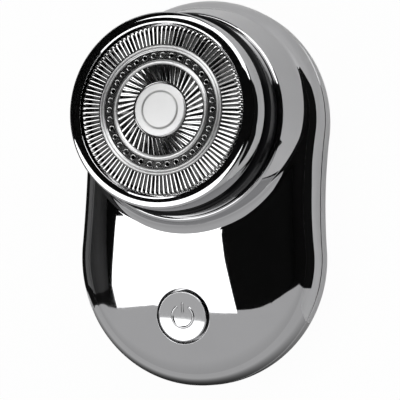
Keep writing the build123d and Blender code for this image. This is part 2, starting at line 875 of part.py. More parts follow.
with BuildPart() as foil_retainer:
    with BuildSketch(Plane.XY.offset(retainer_z)):
        with Locations((0, head_y)):
            Circle(retainer_r)
            Circle(retainer_r - retainer_rim, mode=Mode.SUBTRACT)
            Circle(ring_in + retainer_ring_w)
            with PolarLocations((ring_in + retainer_r - retainer_rim / 2) / 2, retainer_arms, 90):
                Rectangle(retainer_r - retainer_rim / 2 - ring_in, retainer_arm_w)
            Circle(ring_in, mode=Mode.SUBTRACT)
    extrude(amount=retainer_t)
foil_retainer.part.label = "foil_retainer"
export_step(foil_retainer.part, "parts/foil_retainer.step")

# Power button: narrow bevelled rim, hollow face, flange behind the shell and a stem
flange_w_top = -wall - free_gap
flange_w_low = flange_w_top - button_flange_t
stem_end = flange_w_low - button_stem_l - free_gap
bevel_r = button_r - button_bevel
hollow_r = bevel_r - button_land
hollow_low = button_rim - button_dish
hollow_curve = (hollow_r**2 + button_dish**2) / (2 * button_dish)

with BuildPart() as power_button:
    with BuildSketch(button_section):
        with BuildLine():
            Polyline(
                (0, hollow_low),
                (0, stem_end),
                (button_stem_r, stem_end),
                (button_stem_r, flange_w_low),
                (button_r + button_flange_w, flange_w_low),
                (button_r + button_flange_w, flange_w_top),
                (button_r, flange_w_top),
                (button_r, button_rim - button_bevel),
                (bevel_r, button_rim),
                (hollow_r, button_rim),
            )
            RadiusArc((hollow_r, button_rim), (0, hollow_low), hollow_curve)
        make_face()
    revolve(axis=button_axis)
power_button.part.label = "power_button"
export_step(power_button.part, "parts/power_button.step")

# Rubber membrane on the end of the button tube
with BuildPart() as button_membrane:
    with BuildSketch(button_face.offset(-tube_depth)):
        Circle(tube_r + tube_wall)
        Circle(button_stem_r + free_gap, mode=Mode.SUBTRACT)
    extrude(amount=-membrane_t)
button_membrane.part.label = "button_membrane"
export_step(button_membrane.part, "parts/button_membrane.step")

# Circuit board, rounded to follow the lower lobe
with BuildPart() as circuit_board:
    with BuildSketch(Plane.XY.offset(board_bottom)):
        with Locations((0, (board_end_y + board_head_y) / 2)):
            Rectangle(2 * board_half_w, board_head_y - board_end_y)
        with Locations((0, lower_y)):
            Circle(lower_lobe_r - wall - board_margin, mode=Mode.INTERSECT)
        with Locations((-board_post_x, board_post_y), (board_post_x, board_post_y)):
            Circle(screw_r + press_fit, mode=Mode.SUBTRACT)
    extrude(amount=board_t)
circuit_board.part.label = "circuit_board"
export_step(circuit_board.part, "parts/circuit_board.step")

# Two screws that hold the board on its posts
with BuildPart() as board_screws:
    with BuildSketch(Plane.XY.offset(board_top)):
        with Locations((-board_post_x, board_post_y), (board_post_x, board_post_y)):
            Circle(screw_head_r)
    extrude(amount=screw_head_h)
    with BuildSketch(Plane.XY.offset(board_top)):
        with Locations((-board_post_x, board_post_y), (board_post_x, board_post_y)):
            Circle(screw_r)
    extrude(amount=-(board_t + screw_l - thrust_gap))
board_screws.part.label = "board_screws"
export_step(board_screws.part, "parts/board_screws.step")

# Push switch under the stem of the button
with BuildPart() as switch_body:
    with BuildSketch(Plane.XY.offset(board_top)):
        with Locations((0, stem_y)):
            Rectangle(switch_w, switch_w)
            Circle(plunger_r + running_fit, mode=Mode.SUBTRACT)
    extrude(amount=switch_h)
    with BuildSketch(Plane.XY.offset(board_top)):
        with Locations((0, stem_y)):
            Rectangle(switch_w, switch_w)
    extrude(amount=switch_h / 2)
switch_body.part.label = "switch_body"
export_step(switch_body.part, "parts/switch_body.step")

plunger_z = board_top + switch_h / 2 + button_travel + free_gap
with BuildPart() as switch_plunger:
    with BuildSketch(Plane.XY.offset(plunger_z)):
        with Locations((0, stem_y)):
            Circle(plunger_r)
    extrude(amount=switch_top + plunger_h - plunger_z)
switch_plunger.part.label = "switch_plunger"
export_step(switch_plunger.part, "parts/switch_plunger.step")

# Charging inlet: drawn steel shell under the board, open at the lower end of the case
usb_plane = Plane(origin=(0, usb_mouth_y, usb_z), x_dir=(1, 0, 0), z_dir=(0, -1, 0))

with BuildPart() as usb_c_socket:
    with BuildSketch(usb_plane):
        SlotOverall(usb_w, usb_h)
    extrude(amount=-usb_l)
    with BuildSketch(usb_plane):
        SlotOverall(usb_w - 2 * usb_t, usb_h - 2 * usb_t)
    extrude(amount=-(usb_l - usb_t), mode=Mode.SUBTRACT)
usb_c_socket.part.label = "usb_c_socket"
export_step(usb_c_socket.part, "parts/usb_c_socket.step")

with BuildPart() as usb_c_tongue:
    with BuildSketch(usb_plane.offset(-(usb_l - usb_t))):
        Rectangle(usb_tongue_w, usb_tongue_t)
    extrude(amount=usb_tongue_l)
    fillet(usb_c_tongue.edges().filter_by(Axis.Z).group_by(Axis.Y)[0], radius=usb_tongue_t / 2)
usb_c_tongue.part.label = "usb_c_tongue"
export_step(usb_c_tongue.part, "parts/usb_c_tongue.step")

# Cylindrical cell across the lower lobe with its button contact
with BuildPart() as battery:
    with BuildSketch(Plane.YZ.offset(-battery_l / 2)):
        with Locations((battery_y, battery_z)):
            Circle(battery_r)
    extrude(amount=battery_l)
    chamfer(battery.edges().filter_by(GeomType.CIRCLE), length=battery_edge)
    with BuildSketch(Plane.YZ.offset(battery_l / 2)):
        with Locations((battery_y, battery_z)):
            Circle(battery_cap_r)
    extrude(amount=battery_cap_h)
battery.part.label = "battery"
export_step(battery.part, "parts/battery.step")
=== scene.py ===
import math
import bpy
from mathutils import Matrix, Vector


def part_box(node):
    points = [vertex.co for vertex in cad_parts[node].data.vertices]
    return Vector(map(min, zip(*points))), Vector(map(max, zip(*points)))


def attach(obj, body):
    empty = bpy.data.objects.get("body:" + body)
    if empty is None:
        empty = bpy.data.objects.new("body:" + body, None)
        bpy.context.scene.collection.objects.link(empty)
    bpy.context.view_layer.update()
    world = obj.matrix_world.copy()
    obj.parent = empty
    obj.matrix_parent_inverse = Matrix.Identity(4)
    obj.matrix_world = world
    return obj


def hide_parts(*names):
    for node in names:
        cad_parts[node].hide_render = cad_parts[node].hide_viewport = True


bl_info = {
    "name": "Travel Shaver",
    "version": (1, 0, 0),
    "blender": (4, 5, 0),
    "location": "3D View > Sidebar > Shaver",
    "description": "Dresses the packed travel shaver with its visible pieces, finishes and studio",
    "category": "Object",
}

import bpy
import numpy as np
from bpy.props import FloatProperty, FloatVectorProperty, IntProperty, PointerProperty
from mathutils import Matrix, Vector

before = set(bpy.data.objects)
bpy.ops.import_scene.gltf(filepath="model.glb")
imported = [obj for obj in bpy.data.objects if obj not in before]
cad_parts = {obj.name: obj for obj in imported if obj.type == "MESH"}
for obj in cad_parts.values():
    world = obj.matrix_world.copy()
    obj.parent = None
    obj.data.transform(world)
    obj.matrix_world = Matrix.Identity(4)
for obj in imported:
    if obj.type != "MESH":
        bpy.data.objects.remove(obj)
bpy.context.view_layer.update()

# The frame is in metres; sizes below are written as millimetres times MM.
MM = 0.001

FRONT_LOW, FRONT_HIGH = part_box("front_shell")
SEAM_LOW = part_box("shell_gasket")[0]
CAP_LOW, CAP_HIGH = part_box("head_cap")
COLLAR_LOW, COLLAR_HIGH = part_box("head_collar")
DISC_LOW, DISC_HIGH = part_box("foil_centre_cap")
FOIL_LOW, FOIL_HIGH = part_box("foil")
SEAT_LOW, SEAT_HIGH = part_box("drive_seat")
INLET_LOW, INLET_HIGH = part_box("usb_c_socket")
HEAD_Y = (CAP_LOW.y + CAP_HIGH.y) / 2

# Points round each turned piece or hole, and along the sign's strokes
HEAD_STEPS = 360
BOSS_STEPS = 420
FOIL_STEPS = 240
DISC_STEPS = 160
DOT_STEPS = 48
BUTTON_STEPS = 200
HOLE_STEPS = 144
INLET_STEPS = 120
ARC_STEPS = 60
STROKE_STEPS = 12

# Rows of points across each round or face
BACK_ROWS = 26
ROUND_ROWS = 18
FACE_ROWS = 48
FLARE_ROWS = 14
EDGE_ROWS = 4
RIB_ROWS = 6
DOT_ROWS = 6

# Rounds after which a search has settled to far less than a micrometre
SETTLE_ROUNDS = 6
HALVINGS = 50


def length(label, text, value):
    """A size property in metres."""
    return FloatProperty(name=label, description=text, default=value, unit="LENGTH", precision=5)


def angle(label, text, degrees):
    """An angle property, given in degrees."""
    return FloatProperty(name=label, description=text, default=math.radians(degrees), subtype="ANGLE")


def number(label, text, value):
    """A plain number property."""
    return FloatProperty(name=label, description=text, default=value)


def whole(label, text, value):
    """A whole number property."""
    return IntProperty(name=label, description=text, default=value, min=1)


def colour(label, text, value):
    """A colour property, linear."""
    return FloatVectorProperty(
        name=label, description=text, default=value, subtype="COLOR", size=3, min=0, max=1
    )


class CaseSizes(bpy.types.PropertyGroup):
    """Sizes of the two case shells."""

    lower_r: length("Lower lobe", "Radius of the round lower end", FRONT_HIGH.x)
    upper_r: length("Upper lobe", "Radius of the round head end", FRONT_HIGH.y - HEAD_Y)
    waist_r: length("Waist", "Radius of the hollow sides", 106 * MM)
    crown_long_r: length("Long crown", "Front curve from end to end", 125 * MM)
    crown_cross_r: length("Cross crown", "Front curve from side to side", 60 * MM)
    crown_drop: length("Boss step", "Front face below the top of the head boss", 2.1 * MM)
    front_round: length("Front round", "Rounding of the front edge", 7.17 * MM)
    back_round: length("Back round", "Rounding of the back edge", 8 * MM)
    wall: length("Wall", "Thickness of the shells", 1.8 * MM)
    edge: length("Edge break", "Small rounding of the cut edges", 0.12 * MM)
    inlet_gap: length("Inlet gap", "Clearance round the charging inlet", 0.3 * MM)
    inlet_wall: length("Inlet wall", "Depth of the opening's wall behind the inlet's mouth", 4 * MM)
    step: length("Step", "Distance between points along the outline", 0.5 * MM)


class HeadSizes(bpy.types.PropertyGroup):
    """Sizes of the head boss, the head cap and the foil's middle."""

    boss_r: length("Boss", "Radius of the head boss at its top", 18 * MM)
    boss_slope: angle("Boss slope", "Lean of the boss side", 15)
    flare_r: length("Flare", "Hollow round at the foot of the boss", 2.4 * MM)
    bead_r: length("Bead", "Round at the top edge of the boss", 0.5 * MM)
    bore_r: length("Boss bore", "Radius of the opening in the boss", SEAT_HIGH.x + 0.05 * MM)
    bore_edge: length("Bore edge", "Rounding of that opening", 0.15 * MM)
    collar_h: length("Collar", "Height of the dark band under the cap", 3.7 * MM)
    collar_edge: length("Collar edges", "Rounding of the band's edges", 0.3 * MM)
    reveal: length("Reveal", "Depth of the shadow groove over the collar", 0.3 * MM)
    top_r: length("Cap top", "Radius where the cap's lip begins", 16.5 * MM)
    cap_edge: length("Cap edge", "Rounding of the cap's lower edge", 0.2 * MM)
    barrel_h: length("Barrel", "Height over which the cap's side bows inwards", 4.2 * MM)
    barrel: angle("Bow", "Lean of the cap's side under the lip", 19)
    lip_w: length("Lip", "Width of the lip round the foil", 1.95 * MM)
    lip_flat: length("Lip flat", "Width of the flat inside of the lip", 0.85 * MM)
    lip_crown: length("Lip crown", "Curve of the outside of the lip", 4.2 * MM)
    lip_round: length("Lip round", "Outer rounding of the lip", 0.45 * MM)
    lip_cone: length("Lip cone", "Width of the narrow cone inside the flat", 0.2 * MM)
    lip_fall: angle("Lip fall", "Lean of that cone", 7.5)
    lip_inner: length("Lip inner round", "Inner rounding of the lip", 0.1 * MM)
    lip_depth: length("Lip depth", "Height of the lip's inner band", 3.2 * MM)
    cap_bore_r: length("Cap bore", "Radius of the bore under the lip", 15 * MM)
    disc_groove_r: length("Disc groove", "Radius of the groove in the foil's middle", 3.1 * MM)
    disc_groove_w: length("Groove width", "Width of that groove", 0.64 * MM)
    disc_groove_d: length("Groove depth", "Depth of that groove", 0.1 * MM)
    disc_crown: angle("Disc crown", "Lean of the disc's face at its edge", 6)
    disc_edge: length("Disc edge", "Rounding of the middle disc", 0.15 * MM)
    pivot_r: length("Pin", "Radius of the pin under the disc", 0.9 * MM)


class FoilSizes(bpy.types.PropertyGroup):
    """Sizes of the slotted foil."""

    ridge_h: length("Ridges", "Height of the round ridges", 0.2 * MM)
    dish_d: length("Dish", "Depth of the channel and of the dish in the middle", 0.15 * MM)
    thickness: length("Thickness", "Thickness of the foil", 0.4 * MM)
    hub_hole: length("Pin hole", "Radius of the hole in the middle", 1.2 * MM)
    dish_r: length("Dish radius", "Radius of the dish in the middle", 4.65 * MM)
    inner_in: length("Inner ridge from", "Inner radius of the inner ridge", 7.65 * MM)
    inner_out: length("Inner ridge to", "Outer radius of the inner ridge", 8.4 * MM)
    outer_in: length("Outer ridge from", "Inner radius of the outer ridge", 9.95 * MM)
    outer_out: length("Outer ridge to", "Outer radius of the outer ridge", 10.9 * MM)
    foil_r: length("Foil", "Radius of the foil", 14.25 * MM)
    edge: length("Edge", "Rounding of the foil's edge", 0.35 * MM)
    fall: length("Fall", "Drop of the outer track towards the edge", 0.2 * MM)
    ease_r: length("Eased end", "Curve of the ribs before the foil's edge", 1.9 * MM)
    ease: angle("Ease", "Lean of the ribs where the foil's edge begins", 14)
    over_edge: length("Slot end", "Length of the slots below the edge", 0.3 * MM)
    inset: length("Inset", "Distance of the slots from the rings", 0.12 * MM)
    slot_w: length("Slots", "Width of the slots", 0.4 * MM)
    dot_r: length("Dots", "Radius of the holes in the channel", 0.32 * MM)
    dot_round: length("Dot edge", "Rounding of those holes", 0.12 * MM)
    swing: angle("Rib round", "Half angle of the round tops of the ribs", 24)
    lean: angle("Lean", "Lean of the inner slots", 19)
    overrun: number("Overrun", "Inner ribs' length over the width of their track", 1.07)
    rib_share: number("Rib depth", "Depth of the outer ribs as a share of the foil's thickness", 0.6)
    inner_count: whole("Inner slots", "Slots of the inner track", 45)
    outer_count: whole("Outer slots", "Slots of the outer track", 108)
    dots: whole("Dot count", "Holes in the channel", 36)


class ButtonSizes(bpy.types.PropertyGroup):
    """Sizes of the power button and its sign."""

    from_end: length("From end", "Distance of the button from the lower end", 12 * MM)
    button_r: length("Button", "Radius of the button", 4.4 * MM)
    hole_r: length("Hole", "Radius of the button's hole", 4.78 * MM)
    well: length("Well", "Depth of the hole's dark wall", 2.2 * MM)
    rim_h: length("Rim", "Height of the rim above the case", 0.2 * MM)
    bevel: length("Bevel", "Rounding of the rim", 0.15 * MM)
    land: length("Land", "Width of the flat rim", 0.1 * MM)
    dish: length("Hollow", "Depth of the hollow face below the rim", 0.25 * MM)
    flange_r: length("Flange", "Radius of the hidden flange", 5.1 * MM)
    flange_t: length("Flange thickness", "Thickness of the hidden flange", 0.5 * MM)
    stem_r: length("Stem", "Radius of the stem", 1.4 * MM)
    stem_l: length("Stem length", "Length of the stem", 1.9 * MM)
    sign_r: length("Sign", "Radius of the power sign's arc", 1.9 * MM)
    sign_w: length("Sign stroke", "Width of the sign's strokes", 0.5 * MM)
    sign_h: length("Sign height", "Height of the strokes above the face", 0.12 * MM)
    sign_open: angle("Sign opening", "Angle left open at the top", 76)
    stroke_low: number("Stroke foot", "Foot of the upright stroke, in radii of the arc", 0.4)
    stroke_high: number("Stroke top", "Top of the upright stroke, in radii of the arc", 1.15)


class Finishes(bpy.types.PropertyGroup):
    """Colours of the finishes."""

    chrome: colour("Chrome", "Bright plating of case and head", (0.56, 0.56, 0.57))
    button_face: colour("Button face", "Plating of the button's face", (0.60, 0.60, 0.61))
    foil: colour("Foil", "Polished steel of the foil", (0.72, 0.72, 0.72))
    disc: colour("Foil disc", "Turned disc in the foil's middle", (0.99, 0.99, 0.99))
    collar: colour("Collar", "Polished black of the collar", (0.008, 0.008, 0.009))
    # The cutter's dark tone is painted shade: the cutter lies in the shade under the foil.
    cutter: colour("Cutter", "Ground steel of the cutter", (0.22, 0.22, 0.22))
    steel: colour("Steel", "Zinc plated steel", (0.50, 0.50, 0.50))
    rubber: colour("Rubber", "Seals and gasket", (0.012, 0.012, 0.012))
    black: colour("Black plastic", "Drive seat and retainer", (0.018, 0.018, 0.019))
    white: colour("White plastic", "Drive parts", (0.74, 0.74, 0.71))
    copper: colour("Copper", "Windings of the motor", (0.62, 0.27, 0.12))
    wrap: colour("Cell wrap", "Shrink sleeve of the cell", (0.05, 0.22, 0.12))
    mask: colour("Board", "Solder mask", (0.02, 0.16, 0.06))


class StageSizes(bpy.types.PropertyGroup):
    """Camera and light of the studio."""

    view_turn: angle("View turn", "Camera turned to the right of the front", 20.15)
    view_tilt: angle("View tilt", "Camera tilted towards the head end", -3.55)
    view_roll: angle("View roll", "Camera rolled about its own axis", 2.1)
    view_width: angle("Field of view", "Width of the picture", 11.985)
    distance: length("Distance", "Camera to the middle of the case", 337 * MM)
    aim_z: length("Aim", "Height that the camera aims at", 9.9 * MM)
    shift_x: number("Shift X", "Sideways camera shift", -0.0112)
    shift_y: number("Shift Y", "Upward camera shift", -0.0189)
    panel_light: number("Panel", "Radiance of the soft panels", 2.8)
    floor_white: number("Floor white", "Glow of the pale floor", 0.97)
    room_light: number("Room", "Radiance of the grey room", 0.59)
    wall_foot: number("Wall foot", "Radiance of the end wall at the table, as a share of the room", 0.85)
    dark_tone: number("Dark card", "Tone of the dark cards", 0.009)
    dim_tone: number("Dim card", "Tone of the dim card", 0.052)
    grey_tone: number("Grey card", "Tone of the grey cards", 0.17)
    table_tone: number("Table card", "Tone of the pale table", 0.74)
    shade_x: length("Shade X", "Middle of the shade on the table", -6 * MM)
    shade_y: length("Shade Y", "Middle of the shade on the table", -30 * MM)
    shade_in: length("Shade from", "Distance where the shade is darkest", 10 * MM)
    shade_out: length("Shade to", "Distance where the shade ends", 45 * MM)
    shade_low: number("Shade dark", "Radiance in the shade", 0.03)
    shade_high: number("Shade light", "Radiance beyond the shade", 0.57)


GROUPS = {
    "shaver_case": CaseSizes,
    "shaver_head": HeadSizes,
    "shaver_foil": FoilSizes,
    "shaver_button": ButtonSizes,
    "shaver_finish": Finishes,
    "shaver_stage": StageSizes,
}


class Wire:
    """A value on a shader socket. Sums, products, powers and comparisons of wires add Math nodes."""

    def __init__(self, graph, socket):
        self.graph = graph
        self.socket = socket

    def math(self, operation, first, second):
        """The result of one Math node."""
        return self.graph.add("ShaderNodeMath", {"operation": operation}, {0: first, 1: second})

    def __add__(self, other):
        return self.math("ADD", self, other)

    def __radd__(self, other):
        return self.math("ADD", other, self)

    def __sub__(self, other):
        return self.math("SUBTRACT", self, other)

    def __rsub__(self, other):
        return self.math("SUBTRACT", other, self)

    def __mul__(self, other):
        return self.math("MULTIPLY", self, other)

    def __rmul__(self, other):
        return self.math("MULTIPLY", other, self)

    def __pow__(self, other):
        return self.math("POWER", self, other)

    def __gt__(self, other):
        return self.math("GREATER_THAN", self, other)

    def __lt__(self, other):
        return self.math("LESS_THAN", self, other)

    def __abs__(self):
        return self.math("ABSOLUTE", self, 0.0)


class Graph:
    """The node tree of one material, written as expressions."""

    def __init__(self, name):
        self.material = bpy.data.materials.new(name)
        self.material.use_nodes = True
        self.tree = self.material.node_tree
        self.tree.nodes.clear()

    def add(self, kind, settings, sockets, output=0):
        """Adds a node: its settings first, then socket values or links; gives one output."""
        node = self.tree.nodes.new(kind)
        for key, value in settings.items():
            setattr(node, key, value)
        for key, value in sockets.items():
            if isinstance(value, Wire):
                self.tree.links.new(value.socket, node.inputs[key])
            else:
                node.inputs[key].default_value = value
        return Wire(self, node.outputs[output]) if node.outputs else None

    def place(self):
        """Place on the object, in metres."""
        return self.add("ShaderNodeTexCoord", {}, {}, "Object")

    def split(self, vector):
        """The three parts of a vector."""
        parts = self.add("ShaderNodeSeparateXYZ", {}, {0: vector})
        outputs = parts.socket.node.outputs
        return Wire(self, outputs[0]), Wire(self, outputs[1]), Wire(self, outputs[2])

    def scaled(self, vector, factors):
        """A vector times a factor for each axis."""
        return self.add("ShaderNodeVectorMath", {"operation": "MULTIPLY"}, {0: vector, 1: factors})

    def noise(self, vector, scale, detail, rough=0.5):
        """Cloudy noise in space."""
        return self.add(
            "ShaderNodeTexNoise",
            {},
            {"Vector": vector, "Scale": scale, "Detail": detail, "Roughness": rough},
        )

    def lines(self, value, scale):
        """Noise along one value: turning marks, brushing or windings."""
        return self.add(
            "ShaderNodeTexNoise",
            {"noise_dimensions": "1D"},
            {"W": value, "Scale": scale, "Detail": 3.0, "Roughness": 0.6},
        )

    def between(self, value, low, high):
        """0 below low, 1 above high, smooth between."""
        return self.add(
            "ShaderNodeMapRange",
            {"interpolation_type": "SMOOTHSTEP", "clamp": True},
            {"Value": value, "From Min": low, "From Max": high, "To Min": 0.0, "To Max": 1.0},
        )

    def mixed(self, share, first, second):
        """Colour between two colours."""
        return self.add(
            "ShaderNodeMix",
            {"data_type": "RGBA"},
            {0: share, 6: self.rgba(first), 7: self.rgba(second)},
            2,
        )

    def rgba(self, value):
        """A colour with its alpha, or a wire as it is."""
        return value if isinstance(value, Wire) else (value[0], value[1], value[2], 1.0)

    def bump(self, height, strength, depth):
        """A normal that follows small heights."""
        return self.add(
            "ShaderNodeBump", {}, {"Height": height, "Strength": strength, "Distance": depth}
        )

    def surface(self, sockets):
        """Ends the material in one Principled shader."""
        return self.ended(self.add("ShaderNodeBsdfPrincipled", {}, sockets))

    def matt(self, tone):
        """A shader for matt paper."""
        return self.add("ShaderNodeBsdfDiffuse", {}, {"Color": tone})

    def glow(self, tone, strength=1.0):
        """A shader that gives light."""
        return self.add("ShaderNodeEmission", {}, {"Color": tone, "Strength": strength})

    def ended(self, shader):
        """Ends the material in a shader."""
        self.add("ShaderNodeOutputMaterial", {}, {"Surface": shader})
        return self.material


def finish():
    """The colours of the finishes."""
    return bpy.context.scene.shaver_finish


def shade(value, factor):
    """A colour made darker or lighter."""
    return [part * factor for part in value]


def grey(tone):
    """A neutral colour."""
    return (tone, tone, tone)


def chrome_plating(name, base, low=0.02, spread=0.03):
    """Bright plating with faint smears and hairlines from handling."""
    graph = Graph(name)
    place = graph.place()
    smear = graph.between(graph.noise(place, 90.0, 4.0, 0.6), 0.42, 0.72)
    hair = graph.noise(graph.scaled(place, (400.0, 6000.0, 900.0)), 1.0, 2.0)
    hair = graph.between(hair, 0.62, 0.75)
    grain = graph.noise(place, 2600.0, 2.0)
    return graph.surface(
        {
            "Base Color": graph.mixed(smear * 0.5, base, shade(base, 0.94)),
            "Metallic": 1.0,
            "Roughness": low + smear * spread + hair * 0.012,
            "Normal": graph.bump(grain, 0.02, 0.01 * MM),
        }
    )


def head_radius(graph, place):
    """Distance from the axis of the head."""
    x, y = graph.split(place)[:2]
    return (x * x + (y - HEAD_Y) ** 2.0) ** 0.5


def foil_steel():
    """Polished stainless steel with fine turning marks round the head's axis and satin ridges."""
    graph = Graph("foil steel")
    base = finish().foil
    sizes = bpy.context.scene.shaver_foil
    place = graph.place()
    radius = head_radius(graph, place)
    marks = graph.lines(radius, 22000.0)
    cloud = graph.noise(place, 260.0, 3.0)
    inner = (radius > sizes.inner_in) * (radius < sizes.inner_out)
    outer = (radius > sizes.outer_in) * (radius < sizes.outer_out)
    satin = inner + outer
    return graph.surface(
        {
            "Base Color": graph.mixed(cloud * 0.6, base, shade(base, 0.88)),
            "Metallic": 1.0,
            "Roughness": 0.06 + marks * 0.06 + cloud * 0.03 + satin * 0.22,
            "Normal": graph.bump(marks, 0.05, 0.02 * MM),
        }
    )


def turned_steel(name, base, low, metal=1.0, groove_r=0.0, groove_w=0.0):
    """Satin steel turned on a lathe about the head's axis, with painted shade darkening its groove if it
    has one.
    """
    graph = Graph(name)
    place = graph.place()
    radius = head_radius(graph, place)
    marks = graph.lines(radius, 16000.0)
    cloud = graph.noise(place, 420.0, 3.0)
    aside = radius - groove_r
    # Painted shade: the colour turns darker across the groove, where shade falls.
    groove_shade = graph.between(abs(aside), groove_w / 2, 0.0)
    return graph.surface(
        {
            "Base Color": graph.mixed(marks * 0.1 + cloud * 0.06 + groove_shade * 0.7, base, shade(base, 0.2)),
            "Metallic": metal,
            "Roughness": low + marks * 0.08,
            "Normal": graph.bump(marks, 0.12, 0.02 * MM),
        }
    )


def plated_steel():
    """Drawn and zinc plated steel with a faint lengthwise grain."""
    graph = Graph("plated steel")
    base = finish().steel
    place = graph.place()
    grain = graph.noise(graph.scaled(place, (700.0, 700.0, 5200.0)), 1.0, 3.0)
    bloom = graph.noise(place, 300.0, 4.0)
    return graph.surface(
        {
            "Base Color": graph.mixed(bloom * 0.7, base, shade(base, 0.78)),
            "Metallic": 1.0,
            "Roughness": 0.24 + grain * 0.16,
            "Normal": graph.bump(grain, 0.15, 0.02 * MM),
        }
    )


def rubber():
    """Matt black rubber with a dusty bloom."""
    graph = Graph("seal rubber")
    base = finish().rubber
    place = graph.place()
    bloom = graph.noise(place, 500.0, 4.0)
    grain = graph.noise(place, 7000.0, 2.0)
    return graph.surface(
        {
            "Base Color": graph.mixed(bloom * 0.6, base, shade(base, 2.2)),
            "Roughness": 0.6 + grain * 0.2,
            "Normal": graph.bump(grain, 0.3, 0.03 * MM),
        }
    )


def moulded_plastic(name, base, low):
    """Moulded plastic with a spark-eroded grain and slow flow marks."""
    graph = Graph(name)
    place = graph.place()
    grain = graph.noise(place, 4200.0, 3.0)
    flow = graph.noise(graph.scaled(place, (120.0, 320.0, 120.0)), 1.0, 3.0)
    return graph.surface(
        {
            "Base Color": graph.mixed(flow * 0.5, base, shade(base, 0.82)),
            "Roughness": low + grain * 0.18 + flow * 0.05,
            "Normal": graph.bump(grain, 0.25, 0.03 * MM),
        }
    )


def polished_plastic(name, base):
    """Polished black plastic with faint swirls and dust."""
    graph = Graph(name)
    place = graph.place()
    swirl = graph.noise(graph.scaled(place, (900.0, 900.0, 200.0)), 1.0, 3.0)
    dust = graph.between(graph.noise(place, 5200.0, 2.0), 0.68, 0.74)
    return graph.surface(
        {
            "Base Color": graph.mixed(dust * 0.5, base, shade(base, 3.0)),
            "Roughness": 0.08 + swirl * 0.05 + dust * 0.2,
            "Specular IOR Level": 0.08,
            "Normal": graph.bump(swirl, 0.02, 0.02 * MM),
        }
    )


def windings():
    """Lacquered copper turns over a laminated core."""
    graph = Graph("copper windings")
    base = finish().copper
    height = graph.split(graph.place())[2]
    turns = graph.lines(height, 9000.0)
    core = graph.between(turns, 0.4, 0.6)
    return graph.surface(
        {
            "Base Color": graph.mixed(core, shade(base, 0.35), base),
            "Metallic": 0.9,
            "Roughness": 0.3 + turns * 0.2,
            "Normal": graph.bump(turns, 0.4, 0.05 * MM),
        }
    )


def cell_wrap():
    """Shrink sleeve with a darker band towards the button contact."""
    graph = Graph("cell sleeve")
    base = finish().wrap
    place = graph.place()
    along = graph.split(place)[0]
    band = graph.between(along, 9.5 * MM, 9.7 * MM)
    wrinkle = graph.noise(graph.scaled(place, (60.0, 900.0, 900.0)), 1.0, 3.0)
    tone = graph.mixed(band, base, shade(base, 0.2))
    return graph.surface(
        {
            "Base Color": graph.mixed(wrinkle * 0.3, tone, shade(base, 0.6)),
            "Roughness": 0.28 + wrinkle * 0.15,
            "Coat Weight": 0.3,
            "Normal": graph.bump(wrinkle, 0.2, 0.04 * MM),
        }
    )


def solder_mask():
    """Green board with lighter tracks under the mask."""
    graph = Graph("solder mask")
    base = finish().mask
    place = graph.place()
    cells = graph.add(
        "ShaderNodeTexVoronoi",
        {"feature": "DISTANCE_TO_EDGE", "distance": "EUCLIDEAN"},
        {"Vector": place, "Scale": 520.0},
        "Distance",
    )
    track = 1.0 - graph.between(cells, 0.04, 0.09)
    grain = graph.noise(place, 3000.0, 2.0)
    return graph.surface(
        {
            "Base Color": graph.mixed(track * 0.7, base, shade(base, 2.4)),
            "Roughness": 0.32 + grain * 0.12,
            "Normal": graph.bump(track, 0.3, 0.04 * MM),
        }
    )


def dress(node, material):
    """Gives a carried-over CAD node its finish."""
    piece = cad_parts[node]
    if not piece.material_slots:
        piece.data.materials.append(material)
    for slot in piece.material_slots:
        slot.material = material


def unit(vectors):
    """Vectors scaled to length one."""
    return vectors / np.linalg.norm(vectors, axis=-1, keepdims=True)


def directions(angles):
    """Unit vectors in plan at angles in radians."""
    return np.stack([np.cos(angles), np.sin(angles)], axis=-1)


def full_turn(steps):
    """Unit vectors in plan, evenly round a full turn."""
    return directions(np.linspace(0, 2 * math.pi, steps, endpoint=False))


def raised(flat, height):
    """Points in plan with one height, or with a height each."""
    return np.column_stack([flat, np.broadcast_to(height, len(flat))])


def turn_between(first, second, share):
    """Unit vectors on the arc from first to second."""
    cosine = np.clip(np.sum(first * second, axis=-1, keepdims=True), -1.0, 1.0)
    angle = np.maximum(np.arccos(cosine), 1e-9)
    return (np.sin((1 - share) * angle) * first + np.sin(share * angle) * second) / np.sin(angle)


class Skin:
    """A mesh gathered from closed bands of points that carry their own surface normals."""

    def __init__(self):
        self.points = []
        self.normals = []
        self.faces = []

    def band(self, points, normals, keep=None):
        """Adds rows of points; each row runs counter-clockwise and closes on itself."""
        rows, columns = points.shape[:2]
        start = len(self.points)
        self.points.extend(points.reshape(-1, 3))
        self.normals.extend(normals.reshape(-1, 3))
        for row in range(rows - 1):
            low = start + row * columns
            for column in range(columns):
                if keep is not None and not keep[row, column]:
                    continue
                after = (column + 1) % columns
                self.faces.append(
                    (low + column, low + after, low + columns + after, low + columns + column)
                )

    def plate(self, points, normal):
        """Adds one flat face; the points run counter-clockwise seen against its normal."""
        start = len(self.points)
        self.points.extend(points)
        self.normals.extend([normal] * len(points))
        self.faces.append(tuple(range(start, start + len(points))))

    def made(self, name, material):
        """The finished object, with unused points left out."""
        used = sorted({index for face in self.faces for index in face})
        renamed = {old: new for new, old in enumerate(used)}
        mesh = bpy.data.meshes.new(name)
        faces = [[renamed[index] for index in face] for face in self.faces]
        mesh.from_pydata([self.points[index] for index in used], [], faces)
        mesh.polygons.foreach_set("use_smooth", [True] * len(mesh.polygons))
        mesh.normals_split_custom_set_from_vertices([self.normals[index] for index in used])
        mesh.materials.append(material)
        piece = bpy.data.objects.new(name, mesh)
        bpy.context.scene.collection.objects.link(piece)
        return piece


